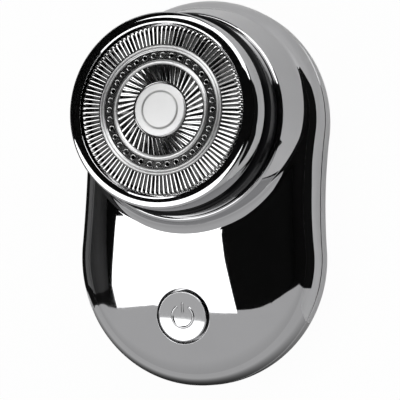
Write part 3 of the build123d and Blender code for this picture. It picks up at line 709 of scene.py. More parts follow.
class Profile:
    """A turned section, drawn counter-clockwise with radius to the right and height up."""

    def __init__(self, radius, height):
        self.at = (radius, height)
        self.runs = []

    def line(self, radius, height):
        """A straight line to a point."""
        step = np.array([radius - self.at[0], height - self.at[1]])
        normal = np.array([step[1], -step[0]]) / np.linalg.norm(step)
        self.runs.append((np.array([self.at, (radius, height)]), np.array([normal, normal])))
        self.at = (radius, height)

    def lines(self, *points):
        """Straight lines through more points."""
        for radius, height in points:
            self.line(radius, height)

    def arc(self, centre, radius, start, stop, rows, side=1):
        """A round about centre from start to stop, in degrees; side -1 is a hollow round."""
        spokes = directions(np.radians(np.linspace(start, stop, rows + 1)))
        self.runs.append((np.array(centre) + radius * spokes, side * spokes))
        self.at = tuple(np.array(centre) + radius * spokes[-1])

    def bowed(self, radius, height, start, stop, rows):
        """A slightly bowed line: its normals turn from start to stop, in degrees."""
        shares = np.linspace(0, 1, rows + 1)[:, None]
        step = np.array([radius - self.at[0], height - self.at[1]])
        normals = directions(np.radians(start + shares[:, 0] * (stop - start)))
        self.runs.append((np.array(self.at) + shares * step, normals))
        self.at = (radius, height)

    def spun(self, skin, axis, columns):
        """Spins the section about an axis given as a 4 by 4 matrix."""
        ring = full_turn(columns)
        turn = np.array(axis)
        for run in self.runs:
            points, facings = (
                np.concatenate(
                    [part[:, None, :1] * ring, np.repeat(part[:, None, 1:], columns, axis=1)], axis=-1
                ) @ turn[:3, :3].T
                for part in run
            )
            skin.band(points + turn[:3, 3], facings)


def turned(name, material, axis, columns, *sections):
    """A piece spun from its sections."""
    skin = Skin()
    for section in sections:
        section.spun(skin, axis, columns)
    return skin.made(name, material)


def on_round(centre, radius, angle):
    """Point of a round at an angle in degrees."""
    turn = math.radians(angle)
    return centre[0] + radius * math.cos(turn), centre[1] + radius * math.sin(turn)


class CaseForm:
    """Outline and pillowed front of the case, worked out from its sizes."""

    def __init__(self):
        sizes = bpy.context.scene.shaver_case
        self.sizes = sizes
        self.lower_y = FRONT_LOW.y + sizes.lower_r
        span = HEAD_Y - self.lower_y
        reach_low = sizes.waist_r + sizes.lower_r
        reach_up = sizes.waist_r + sizes.upper_r
        rise = (reach_low**2 - reach_up**2 + span**2) / (2 * span)
        self.waist_x = math.sqrt(reach_low**2 - rise**2)
        self.waist_y = self.lower_y + rise
        self.turn_low = math.atan2(self.lower_y - self.waist_y, self.waist_x)
        self.turn_up = math.atan2(HEAD_Y - self.waist_y, self.waist_x)
        self.axis_z = FRONT_HIGH.z - sizes.crown_drop - sizes.crown_long_r
        self.ring_r = sizes.crown_long_r - sizes.crown_cross_r

    def stations(self, step):
        """Points and outward normals along the outline, counter-clockwise, about step apart."""
        sizes = self.sizes
        points = []
        normals = []

        def walk(centre, radius, start, stop, side):
            """Adds one arc of the outline; side -1 is a hollow arc."""
            count = max(4, round(radius * abs(stop - start) / step))
            spokes = directions(np.linspace(start, stop, count, endpoint=False))
            points.append(np.array(centre) + radius * spokes)
            normals.append(side * spokes)

        half = math.pi
        walk((self.waist_x, self.waist_y), sizes.waist_r, half - self.turn_low, half - self.turn_up, -1)
        walk((0, HEAD_Y), sizes.upper_r, -self.turn_up, half + self.turn_up, 1)
        walk((-self.waist_x, self.waist_y), sizes.waist_r, self.turn_up, self.turn_low, -1)
        walk((0, self.lower_y), sizes.lower_r, half + self.turn_low, 2 * half - self.turn_low, 1)
        return np.concatenate(points), np.concatenate(normals)

    def depth(self, places):
        """Distance inside the outline, and the outward normal in plan."""
        sizes = self.sizes
        side = np.where(places[:, 0] < 0, -1.0, 1.0)
        x = np.abs(places[:, 0])
        y = places[:, 1]
        turn = np.arctan2(y - self.waist_y, self.waist_x - x)
        from_waist = np.stack([self.waist_x - x, self.waist_y - y], axis=-1)
        from_low = np.stack([x, y - self.lower_y], axis=-1)
        from_up = np.stack([x, y - HEAD_Y], axis=-1)
        reach = [np.linalg.norm(part, axis=-1) for part in (from_low, from_waist, from_up)]
        zone = np.where(turn < self.turn_low, 0, np.where(turn < self.turn_up, 1, 2))
        inside = np.choose(
            zone, [sizes.lower_r - reach[0], reach[1] - sizes.waist_r, sizes.upper_r - reach[2]]
        )
        normal = np.where(
            (zone == 0)[:, None],
            from_low / reach[0][:, None],
            np.where((zone == 1)[:, None], from_waist / reach[1][:, None], from_up / reach[2][:, None]),
        )
        normal[:, 0] *= side
        return inside, raised(normal, 0.0)

    def crown(self, x, y, drop=0.0):
        """Height of the pillowed front, lowered by drop along its normal."""
        cross = np.sqrt((self.sizes.crown_cross_r - drop) ** 2 - x**2)
        return self.axis_z + np.sqrt((self.ring_r + cross) ** 2 - y**2)

    def crown_reach(self, places):
        """Distance above the pillowed front, and its outward normal."""
        x, y, z = places[..., 0], places[..., 1], places[..., 2] - self.axis_z
        swing = np.hypot(y, z)
        lift = swing - self.ring_r
        reach = np.hypot(x, lift)
        normal = np.stack([x, lift * y / swing, lift * z / swing], axis=-1) / reach[..., None]
        return reach - self.sizes.crown_cross_r, normal

    def body_reach(self, places):
        """Distance above the rounded front body, and its outward normal."""
        ball = self.sizes.front_round
        inside, wall_normal = self.depth(places)
        above, crown_normal = self.crown_reach(places)
        out = ball - inside
        up = above + ball
        lean = np.sum(wall_normal * crown_normal, axis=-1)
        share_wall = (out - lean * up) / (1 - lean**2)
        share_crown = (up - lean * out) / (1 - lean**2)
        spoke = share_wall[:, None] * wall_normal + share_crown[:, None] * crown_normal
        reach = np.linalg.norm(spoke, axis=-1)
        rounded = (share_wall > 0) & (share_crown > 0)
        distance = np.where(rounded, reach - ball, above)
        normal = np.where(rounded[:, None], spoke / reach[:, None], crown_normal)
        return distance, normal


def button_axis(form):
    """Matrix of the button's own axes: its place on the front face and its tilt."""
    sizes = bpy.context.scene.shaver_button
    y = FRONT_LOW.y + sizes.from_end
    z = float(form.crown(0.0, y))
    normal = Vector((0, y, z - form.axis_z)).normalized()
    across = Vector((1, 0, 0))
    along = normal.cross(across)
    matrix = Matrix((across, along, normal)).transposed().to_4x4()
    matrix.translation = Vector((0, y, z))
    return matrix


def band_rows(points, normals, insets, heights, facing_out, facing_up):
    """Rows that follow the outline at given insets and heights."""
    rows = []
    facings = []
    for inset, height, out, up in zip(insets, heights, facing_out, facing_up):
        rows.append(raised(points - inset * normals, height))
        facings.append(raised(out * normals, up))
    return np.array(rows), np.array(facings)


def quarter(rows):
    """Sines and cosines of a quarter turn in even steps."""
    angles = np.linspace(0, math.pi / 2, rows + 1)
    return np.sin(angles), np.cos(angles)


def opening(inside):
    """Faces that touch the points inside a hole, and the points round the hole."""
    corner = inside[:-1] | inside[1:]
    opened = corner | np.roll(corner, -1, axis=1)
    rim = np.zeros_like(inside)
    rim[:-1] |= opened
    rim[1:] |= opened
    rim |= np.roll(rim, 1, axis=1)
    return opened, rim & ~inside


def rolled_edge(lip, facing, inwards, edge):
    """Rows that roll from a face over a small rounding into the wall of a hole."""
    turns = list(zip(*quarter(EDGE_ROWS)))
    rows = [lip + edge * (sine * inwards - (1 - cosine) * facing) for sine, cosine in turns]
    return rows, [cosine * facing + sine * inwards for sine, cosine in turns]


class SHAVER_OT_back_case(bpy.types.Operator):
    """Makes the back shell: flat back, round edge, seam edge and the mouth of the charging inlet."""

    bl_idname = "shaver.back_case"
    bl_label = "Back case"

    def execute(self, context):
        sizes = context.scene.shaver_case
        form = CaseForm()
        points, normals = form.stations(sizes.step)
        skin = Skin()
        ball = sizes.back_round
        sine, cosine = quarter(BACK_ROWS)
        rows, facings = band_rows(
            points, normals, ball * (1 - sine), ball * (1 - cosine), sine, -cosine
        )
        keep = self.inlet_mouth(skin, form, rows, facings)
        skin.band(rows, facings, keep)
        skin.plate(rows[0][::-1], (0, 0, -1))
        top = SEAM_LOW.z
        edge = sizes.edge
        skin.band(*band_rows(points, normals, [0, 0], [ball, top - edge], [1, 1], [0, 0]))
        sine, cosine = quarter(EDGE_ROWS)
        skin.band(
            *band_rows(
                points, normals, edge * (1 - cosine), top - edge + edge * sine, cosine, sine
            )
        )
        skin.band(*band_rows(points, normals, [edge, sizes.wall], [top, top], [0, 0], [1, 1]))
        piece = skin.made("back_case", chrome_plating("case chrome back", finish().chrome))
        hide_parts("back_shell")
        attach(piece, "case")
        return {"FINISHED"}

    def inlet_mouth(self, skin, form, rows, facings):
        """Opens the rows over the inlet, fits their edge to its slot and adds the slot's wall."""
        sizes = form.sizes
        half_w = INLET_HIGH.x + sizes.inlet_gap
        end_r = (INLET_HIGH.z - INLET_LOW.z) / 2 + sizes.inlet_gap
        middle_z = (INLET_HIGH.z + INLET_LOW.z) / 2
        straight = half_w - end_r

        def slot_reach(x, z, grow):
            """Distance outside the slot grown by grow, and how far x lies past its straight part."""
            past = np.maximum(np.abs(x) - straight, 0) * np.sign(x)
            return np.hypot(past, z - middle_z) - end_r - grow, past

        def on_back_round(x, z):
            """Points of the rounded back edge at the lower end, and their normals."""
            ball = sizes.back_round
            sine = (ball - z) / ball
            cosine = np.sqrt(1 - sine**2)
            reach = sizes.lower_r - ball * (1 - cosine)
            y = form.lower_y - np.sqrt(reach**2 - x**2)
            out = np.stack([x, y - form.lower_y], axis=-1) / reach[..., None]
            place = np.stack([x, y, z], axis=-1)
            return place, np.concatenate([out * cosine[..., None], -sine[..., None]], axis=-1)

        near_end = rows[..., 1] < form.lower_y
        reach, past = slot_reach(rows[..., 0], rows[..., 2], sizes.edge)
        inside = near_end & (reach < 0)
        opened, rim = opening(inside)
        rim &= near_end
        x, z = rows[..., 0][rim], rows[..., 2][rim]
        reach, past = reach[rim], past[rim]
        span = np.hypot(past, z - middle_z)
        place, facing = on_back_round(x - reach * past / span, z - reach * (z - middle_z) / span)
        rows[rim] = place
        facings[rim] = facing

        spoke = full_turn(INLET_STEPS)
        centre_x = np.sign(np.round(spoke[:, 0], 6)) * straight
        lip, lip_facing = on_back_round(
            centre_x + (end_r + sizes.edge) * spoke[:, 0],
            middle_z + (end_r + sizes.edge) * spoke[:, 1],
        )
        inwards = np.column_stack([-spoke[:, 0], np.zeros(len(spoke)), -spoke[:, 1]])
        wall_rows, wall_facings = rolled_edge(lip, lip_facing, inwards, sizes.edge)
        deep = wall_rows[-1].copy()
        deep[:, 1] = INLET_LOW.y + sizes.inlet_wall
        wall_rows.append(deep)
        wall_facings.append(inwards)
        skin.band(np.array(wall_rows)[:, ::-1], unit(np.array(wall_facings))[:, ::-1])
        return ~opened


class SHAVER_OT_front_case(bpy.types.Operator):
    """Makes the front shell: seam edge, rounded edge, pillowed face, button hole and head boss."""

    bl_idname = "shaver.front_case"
    bl_label = "Front case"

    def execute(self, context):
        form = CaseForm()
        skin = Skin()
        head_r = context.scene.shaver_head.bore_r + context.scene.shaver_head.bead_r
        self.pillow(skin, form, context.scene.shaver_case, context.scene.shaver_button, head_r)
        self.boss(skin, form, context.scene.shaver_head)
        piece = skin.made("front_case", chrome_plating("case chrome front", finish().chrome))
        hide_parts("front_shell")
        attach(piece, "case")
        return {"FINISHED"}

    def pillow(self, skin, form, sizes, button, head_r):
        """Seam edge, side, rolling-ball edge and pillowed face, in rows from the outline to the head."""
        points, normals = form.stations(sizes.step)
        base = FRONT_LOW.z
        edge = sizes.edge
        ball = sizes.front_round
        skin.band(*band_rows(points, normals, [sizes.wall, edge], [base, base], [0, 0], [-1, -1]))
        sine, cosine = quarter(EDGE_ROWS)
        skin.band(
            *band_rows(points, normals, edge * (1 - sine), base + edge * (1 - cosine), sine, -cosine)
        )
        spine = points - ball * normals
        spine_z = form.crown(spine[:, 0], spine[:, 1], ball)
        centre = raised(spine, spine_z)
        wall_normal = raised(normals, 0.0)
        crown_normal = form.crown_reach(centre)[1]
        foot = raised(points, base + edge)
        shoulder = raised(points, np.maximum(spine_z, base + edge))
        skin.band(np.array([foot, shoulder]), np.array([wall_normal, wall_normal]))
        shares = np.linspace(0, 1, ROUND_ROWS + 1)
        facings = np.array([turn_between(wall_normal, crown_normal, share) for share in shares])
        skin.band(centre + ball * facings, facings)

        head = np.array([0.0, HEAD_Y])
        start = (centre + ball * crown_normal)[:, :2]
        reach = np.linalg.norm(start - head, axis=-1, keepdims=True)
        heading = (start - head) / reach
        narrowest = 1 * MM
        inner = np.minimum(head_r, reach - narrowest)
        shares = np.linspace(0, 1, FACE_ROWS + 1)[:, None, None]
        flat = head + heading * (reach + shares * (inner - reach))
        heights = form.crown(flat[..., 0], flat[..., 1])
        rows = np.concatenate([flat, heights[..., None]], axis=-1)
        keep = self.button_hole(skin, form, rows, button.hole_r, edge, button.well)
        skin.band(rows, form.crown_reach(rows)[1], keep)

    def button_hole(self, skin, form, rows, hole_r, edge, depth):
        """Opens the face over the button, fits its edge to the hole and adds the hole's wall."""
        axes = np.array(button_axis(form))
        across, along, out, origin = axes[:3, 0], axes[:3, 1], axes[:3, 2], axes[:3, 3]
        rim_r = hole_r + edge

        def on_face(u, v):
            """Points of the front face at places given in the button's own axes."""
            x = u
            y = origin[1] + v * along[1]
            for _ in range(SETTLE_ROUNDS):
                z = form.crown(x, y)
                y = origin[1] + (v - (z - origin[2]) * along[2]) / along[1]
            return np.stack([x, y, form.crown(x, y)], axis=-1)

        u = (rows - origin) @ across
        v = (rows - origin) @ along
        reach = np.hypot(u, v)
        inside = reach < rim_r
        opened, rim = opening(inside)
        pull = rim_r / reach[rim]
        rows[rim] = on_face(u[rim] * pull, v[rim] * pull)

        around = full_turn(HOLE_STEPS)
        spoke = around[:, :1] * across + around[:, 1:] * along
        lip = on_face(rim_r * around[:, 0], rim_r * around[:, 1])
        lip_facing = form.crown_reach(lip)[1]
        wall_rows, wall_facings = rolled_edge(lip, lip_facing, -spoke, edge)
        skin.band(np.array(wall_rows), unit(np.array(wall_facings)))
        well = Skin()
        well.band(np.array([wall_rows[-1], wall_rows[-1] - depth * out]), np.array([-spoke, -spoke]))
        piece = well.made("button_well", moulded_plastic("well plastic", finish().black, 0.4))
        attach(piece, "case")
        return ~opened

    def boss(self, skin, form, sizes):
        """Flare where a ball rests on both face and boss, the leaning side, the bead and the bore."""
        top = FRONT_HIGH.z
        slope = math.tan(sizes.boss_slope)
        lean = np.array([math.cos(sizes.boss_slope), math.sin(sizes.boss_slope)])
        ball = sizes.flare_r
        spoke = full_turn(BOSS_STEPS)

        def ball_at(height):
            """Middles of balls that rest on the boss side, at given heights."""
            reach = sizes.boss_r + (top - height) * slope + ball / lean[0]
            return raised(spoke * reach[:, None] + [0, HEAD_Y], height)

        search_low, search_high = top - 14 * MM, top + 4 * MM
        low = np.full(len(spoke), search_low)
        high = np.full(len(spoke), search_high)
        for _ in range(HALVINGS):
            middle = (low + high) / 2
            clear = form.body_reach(ball_at(middle))[0] > ball
            low = np.where(clear, low, middle)
            high = np.where(clear, middle, high)
        centre = ball_at(high)
        body_normal = form.body_reach(centre)[1]
        side_normal = raised(spoke * lean[0], lean[1])
        shares = np.linspace(0, 1, FLARE_ROWS + 1)
        facings = np.array([turn_between(body_normal, side_normal, share) for share in shares])
        rows = centre - ball * facings
        skin.band(rows, facings)

        bead = sizes.bead_r
        bead_mid = (sizes.boss_r + bead * slope - bead / lean[0], top - bead)
        start = np.array(bead_mid) + bead * lean
        shoulder = raised(spoke * start[0] + [0, HEAD_Y], start[1])
        skin.band(np.array([rows[-1], shoulder]), np.array([side_normal, side_normal]))
        edge = sizes.bore_edge
        section = Profile(*start)
        section.arc(bead_mid, bead, math.degrees(sizes.boss_slope), 90, rows=10)
        section.line(sizes.bore_r + edge, top)
        section.arc((sizes.bore_r + edge, top - edge), edge, 90, 180, rows=5)
        section.line(sizes.bore_r, SEAT_LOW.z)
        section.spun(skin, Matrix.Translation((0, HEAD_Y, 0)), HEAD_STEPS)


class SHAVER_OT_head_cap(bpy.types.Operator):
    """Makes the turned head cap with its crowned lip, and the dark collar under it."""

    bl_idname = "shaver.head_cap"
    bl_label = "Head cap"

    def execute(self, context):
        sizes = context.scene.shaver_head
        axis = Matrix.Translation((0, HEAD_Y, 0))
        self.cap(sizes, axis)
        self.collar(sizes, axis)
        return {"FINISHED"}

    def cap(self, sizes, axis):
        """Bowed side, rounded edge, crowned and flat lip, and the bore."""
        low, top = CAP_LOW.z, CAP_HIGH.z
        base_r = CAP_HIGH.x
        edge = sizes.cap_edge
        lip_r = sizes.top_r - sizes.lip_w
        crown_mid = (lip_r + sizes.lip_flat, top - sizes.lip_crown)
        edge_r = sizes.top_r - sizes.lip_round
        reach = sizes.lip_crown - sizes.lip_round
        turn = math.asin((edge_r - crown_mid[0]) / reach)
        edge_mid = (edge_r, crown_mid[1] + reach * math.cos(turn))
        fall = math.degrees(sizes.lip_fall)
        cone_z = top - sizes.lip_cone * math.tan(sizes.lip_fall)
        in_r = lip_r + sizes.lip_inner * (1 - math.sin(sizes.lip_fall))
        in_mid = (lip_r + sizes.lip_inner, cone_z - sizes.lip_inner * math.cos(sizes.lip_fall))
        crest, lean = 90 - math.degrees(turn), math.degrees(sizes.barrel)
        edge_r, edge_z = on_round(edge_mid, sizes.lip_round, lean)
        barrel_z = edge_z - sizes.barrel_h
        section = Profile(sizes.cap_bore_r, low)
        section.line(base_r - edge, low)
        section.arc((base_r - edge, low + edge), edge, -90, 0, rows=5)
        section.bowed(base_r, barrel_z, 0, 0, rows=3)
        section.bowed(edge_r, edge_z, 0, lean, rows=12)
        section.arc(edge_mid, sizes.lip_round, lean, crest, rows=14)
        section.arc(crown_mid, sizes.lip_crown, crest, 90, rows=12)
        section.lines((in_r + sizes.lip_cone, top), (in_r, cone_z))
        section.arc(in_mid, sizes.lip_inner, 90 + fall, 180, rows=10)
        lip_low = top - sizes.lip_depth
        section.lines((lip_r, lip_low), (sizes.cap_bore_r, lip_low), (sizes.cap_bore_r, low))
        plating = chrome_plating("cap chrome", finish().chrome)
        piece = turned("head_cap_turned", plating, axis, HEAD_STEPS, section)
        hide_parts("head_cap")
        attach(piece, "head")

    def collar(self, sizes, axis):
        """Polished black band with rounded edges and a neck."""
        low, high = COLLAR_LOW.z, COLLAR_HIGH.z
        outer, edge = COLLAR_HIGH.x, sizes.collar_edge
        band = low + sizes.collar_h
        neck = CAP_HIGH.x - sizes.reveal
        section = Profile(sizes.cap_bore_r, low)
        section.line(outer - edge, low)
        section.arc((outer - edge, low + edge), edge, -90, 0, rows=6)
        section.line(outer, band - edge)
        section.arc((outer - edge, band - edge), edge, 0, 90, rows=6)
        section.lines((neck, band), (neck, high), (sizes.cap_bore_r, high), (sizes.cap_bore_r, low))
        plastic = polished_plastic("collar plastic", finish().collar)
        piece = turned("head_collar_turned", plastic, axis, HEAD_STEPS, section)
        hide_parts("head_collar")
        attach(piece, "head")


class SHAVER_OT_foil(bpy.types.Operator):
    """Makes the slotted foil with its rings, ribs and dots, and the grooved disc in its middle."""

    bl_idname = "shaver.foil"
    bl_label = "Foil"

    def execute(self, context):
        sizes = context.scene.shaver_foil
        self.face = FOIL_HIGH.z - sizes.ridge_h
        self.floor = self.face - sizes.dish_d
        self.under = self.face - sizes.thickness
        self.axis = Matrix.Translation((0, HEAD_Y, 0))
        skin = Skin()
        self.rings(skin, sizes)
        self.inner_ribs(skin, sizes)
        self.outer_ribs(skin, sizes)
        self.dots(skin, sizes)
        piece = skin.made("foil_slotted", foil_steel())
        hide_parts("foil")
        disc = self.disc(context.scene.shaver_head)
        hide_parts("foil_centre_cap")
        for part in (piece, disc):
            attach(part, "foil_unit")
        return {"FINISHED"}

    def ridge(self, section, inner, height):
        """A round ridge from where the section stands to a smaller radius."""
        outer, base = section.at
        half = (outer - inner) / 2
        radius = (half**2 + height**2) / (2 * height)
        foot = math.degrees(math.atan2(radius - height, half))
        section.arc((inner + half, base + height - radius), radius, foot, 180 - foot, rows=12)

    def rings(self, skin, sizes):
        """The unslotted rings: double outer ridge, inner ridge, hub and skirt."""
        face, floor, under = self.face, self.floor, self.under
        slots_from = sizes.outer_out + sizes.inset
        slots_to = sizes.inner_in - sizes.inset / 2
        hub_r = sizes.dish_r + sizes.inset
        ring = Profile(slots_from, under)
        ring.lines((slots_from, face), (sizes.outer_out, face))
        self.ridge(ring, (sizes.outer_out + sizes.outer_in) / 2, sizes.ridge_h)
        self.ridge(ring, sizes.outer_in, sizes.ridge_h)
        ring.line(sizes.outer_in, floor)
        inner = Profile(sizes.inner_out, floor)
        inner.line(sizes.inner_out, face)
        self.ridge(inner, sizes.inner_in, sizes.ridge_h)
        inner.lines((slots_to, face), (slots_to, under))
        hub = Profile(hub_r, under)
        hub.lines((hub_r, face), (sizes.dish_r, face), (sizes.dish_r, floor))
        hub.lines((sizes.hub_hole, floor), (sizes.hub_hole, under), (hub_r, under))
        low, flange_r = FOIL_LOW.z, FOIL_HIGH.x
        slot_low = face - sizes.fall - sizes.edge - sizes.over_edge
        wall_r = sizes.foil_r - sizes.thickness
        flange_top = low + sizes.thickness
        skirt = Profile(wall_r, slot_low)
        skirt.lines((wall_r, low), (flange_r, low), (flange_r, flange_top))
        skirt.lines((sizes.foil_r, flange_top), (sizes.foil_r, slot_low), (wall_r, slot_low))
        for section in (ring, inner, hub, skirt):
            section.spun(skin, self.axis, FOIL_STEPS)

    def rib(self, skin, base, up, across, width, depth, swing):
        """A round-topped rib along a row of base points, with upright sides and a flat underside."""
        radius = width / 2 / math.sin(swing)
        top = [
            (math.sin(angle) * radius, (math.cos(angle) - 1) * radius, math.sin(angle), math.cos(angle))
            for angle in np.linspace(swing, -swing, RIB_ROWS + 1)
        ]
        drop = (math.cos(swing) - 1) * radius
        foot = np.full(len(base), -depth)
        half = width / 2
        sides = [
            (-half, drop, -1, 0), (-half, foot, -1, 0), (-half, foot, 0, -1),
            (half, foot, 0, -1), (half, foot, 1, 0), (half, drop, 1, 0),
        ]
        points = []
        normals = []
        for aside, above, face_aside, face_up in top + sides:
            points.append(base + aside[:, None] * across + above[:, None] * up)
            normals.append(face_aside * across + face_up * up)
        keep = np.ones((len(base) - 1, len(points)), bool)
        keep[:, len(top) - 1 :: 2] = False
        skin.band(np.stack(points, axis=1), np.stack(normals, axis=1), keep)

    def inner_ribs(self, skin, sizes):
        """Leaning ribs of the inner track, between neighbouring slots."""
        slot_low = sizes.dish_r + sizes.inset
        slot_high = sizes.inner_in - sizes.inset / 2
        middle = (slot_low + slot_high) / 2
        reach = np.linspace(slot_low - middle, slot_high - middle, 4) * sizes.overrun
        pitch = 2 * math.pi / sizes.inner_count

        def edge(turn, side):
            """One edge of the slot at an angle: side 1 is its left edge, -1 its right."""
            lean = turn + sizes.lean
            out = np.array([math.cos(lean), math.sin(lean), 0])
            left = np.array([-math.sin(lean), math.cos(lean), 0])
            centre = np.array([middle * math.cos(turn), HEAD_Y + middle * math.sin(turn), self.face])
            return centre + reach[:, None] * out + side * sizes.slot_w / 2 * left

        up = np.tile([0.0, 0.0, 1.0], (len(reach), 1))
        for count in range(sizes.inner_count):
            first = edge(count * pitch, 1)
            second = edge((count + 1) * pitch, -1)
            width = np.linalg.norm(second - first, axis=-1)
            across = (second - first) / width[:, None]
            self.rib(skin, (first + second) / 2, up, across, width, sizes.thickness, sizes.swing)

    def outer_ribs(self, skin, sizes):
        """Straight ribs of the outer track, which run over the foil's edge."""
        tilt = math.atan2(sizes.fall, sizes.foil_r - sizes.edge - sizes.outer_out)
        ease = np.linspace(tilt, sizes.ease, 5)
        turns = np.linspace(sizes.ease, math.pi / 2, 7)[1:]
        bent = sizes.ease_r * (math.sin(sizes.ease) - math.sin(tilt))
        ease_r = sizes.foil_r - sizes.edge * (1 - math.sin(sizes.ease)) - bent
        ease_z = self.face - (ease_r - sizes.outer_out) * math.tan(tilt)
        ends_r = ease_r + sizes.ease_r * (np.sin(ease) - math.sin(tilt))
        ends_z = ease_z + sizes.ease_r * (np.cos(ease) - math.cos(tilt))
        round_r = ends_r[-1] + sizes.edge * (np.sin(turns) - math.sin(sizes.ease))
        round_z = ends_z[-1] + sizes.edge * (np.cos(turns) - math.cos(sizes.ease))
        track_r = np.linspace(sizes.outer_out, ease_r, 4)[:-1]
        track_z = self.face - (track_r - sizes.outer_out) * math.tan(tilt)
        radius = np.concatenate([track_r, ends_r, round_r, [sizes.foil_r]])
        height = np.concatenate([track_z, ends_z, round_z, [round_z[-1] - sizes.over_edge]])
        facing = np.concatenate([[tilt] * len(track_r), ease, turns, [math.pi / 2]])
        pitch = 2 * math.pi / sizes.outer_count
        width = 2 * radius * math.sin(pitch / 2) - sizes.slot_w
        for count in range(sizes.outer_count):
            turn = (count + 0.5) * pitch
            out = np.array([math.cos(turn), math.sin(turn), 0])
            left = np.array([-math.sin(turn), math.cos(turn), 0])
            base = radius[:, None] * out + np.column_stack([0 * radius, 0 * radius + HEAD_Y, height])
            up = np.sin(facing)[:, None] * out + np.cos(facing)[:, None] * np.array([0, 0, 1])
            across = np.tile(left, (len(radius), 1))
            self.rib(skin, base, up, across, width, sizes.thickness * sizes.rib_share, sizes.swing)

    def dots(self, skin, sizes):
        """Floor of the channel with its ring of round-edged holes."""
        half = (sizes.outer_in - sizes.inner_out) / 2
        middle = sizes.inner_out + half
        half_turn = math.pi / sizes.dots * middle
        spoke = full_turn(DOT_STEPS)
        border = np.min(np.array([half, half_turn]) / np.maximum(np.abs(spoke), 1e-9), axis=-1)
        edge = sizes.dot_round
        hole = np.full(DOT_STEPS, sizes.dot_r)
        flat = [(border, 0, 0, 1), (hole + edge, 0, 0, 1)]
        lip = [
            (hole + edge * (1 - sine), edge * (cosine - 1), -sine, cosine)
            for sine, cosine in zip(*quarter(DOT_ROWS))
        ]
        wall = [(hole, -edge, -1, 0), (hole, self.under - self.floor, -1, 0)]
        for count in range(sizes.dots):
            place = 2 * math.pi * count / sizes.dots
            for rows in (flat, lip, wall):
                points = []
                normals = []
                for reach, above, face_out, face_up in rows:
                    local = spoke * reach[:, None]
                    ring = directions(place + local[:, 1] / middle)
                    left = np.stack([-ring[:, 1], ring[:, 0]], axis=-1)
                    out = spoke[:, :1] * ring + spoke[:, 1:] * left
                    flat_place = ring * (middle + local[:, :1]) + [0, HEAD_Y]
                    points.append(raised(flat_place, self.floor + above))
                    normals.append(raised(face_out * out, face_up))
                skin.band(np.array(points), np.array(normals, float))

    def disc(self, sizes):
        """Turned disc in the middle with its groove and the pin below it."""
        top = DISC_HIGH.z
        disc_r = DISC_HIGH.x
        edge = sizes.disc_edge
        half = sizes.disc_groove_w / 2
        floor = top - sizes.disc_groove_d
        groove_r = sizes.disc_groove_r
        crown = math.degrees(sizes.disc_crown)
        slope = math.degrees(math.atan2(2 * sizes.disc_groove_d, half))
        section = Profile(disc_r, self.floor)
        section.line(disc_r, top - edge)
        section.arc((disc_r - edge, top - edge), edge, 0, 90 - crown, rows=6)
        section.bowed(groove_r + half, top, 90 - crown, 90 - crown / 2, rows=4)
        section.bowed(groove_r, floor, 90 - crown / 2, 90 + slope, rows=4)
        section.bowed(groove_r - half, top, 90 - slope, 90 - crown / 3, rows=4)
        section.bowed(0, top, 90 - crown / 3, 90, rows=6)
        pivot = Profile(0, DISC_LOW.z)
        pivot.lines((sizes.pivot_r, DISC_LOW.z), (sizes.pivot_r, self.floor), (disc_r, self.floor))
        # The disc's steel carries painted shade in its groove.
        steel = turned_steel("foil disc steel", finish().disc, 0.4, 0.5, groove_r, sizes.disc_groove_w)
        return turned("foil_disc", steel, self.axis, DISC_STEPS, section, pivot)


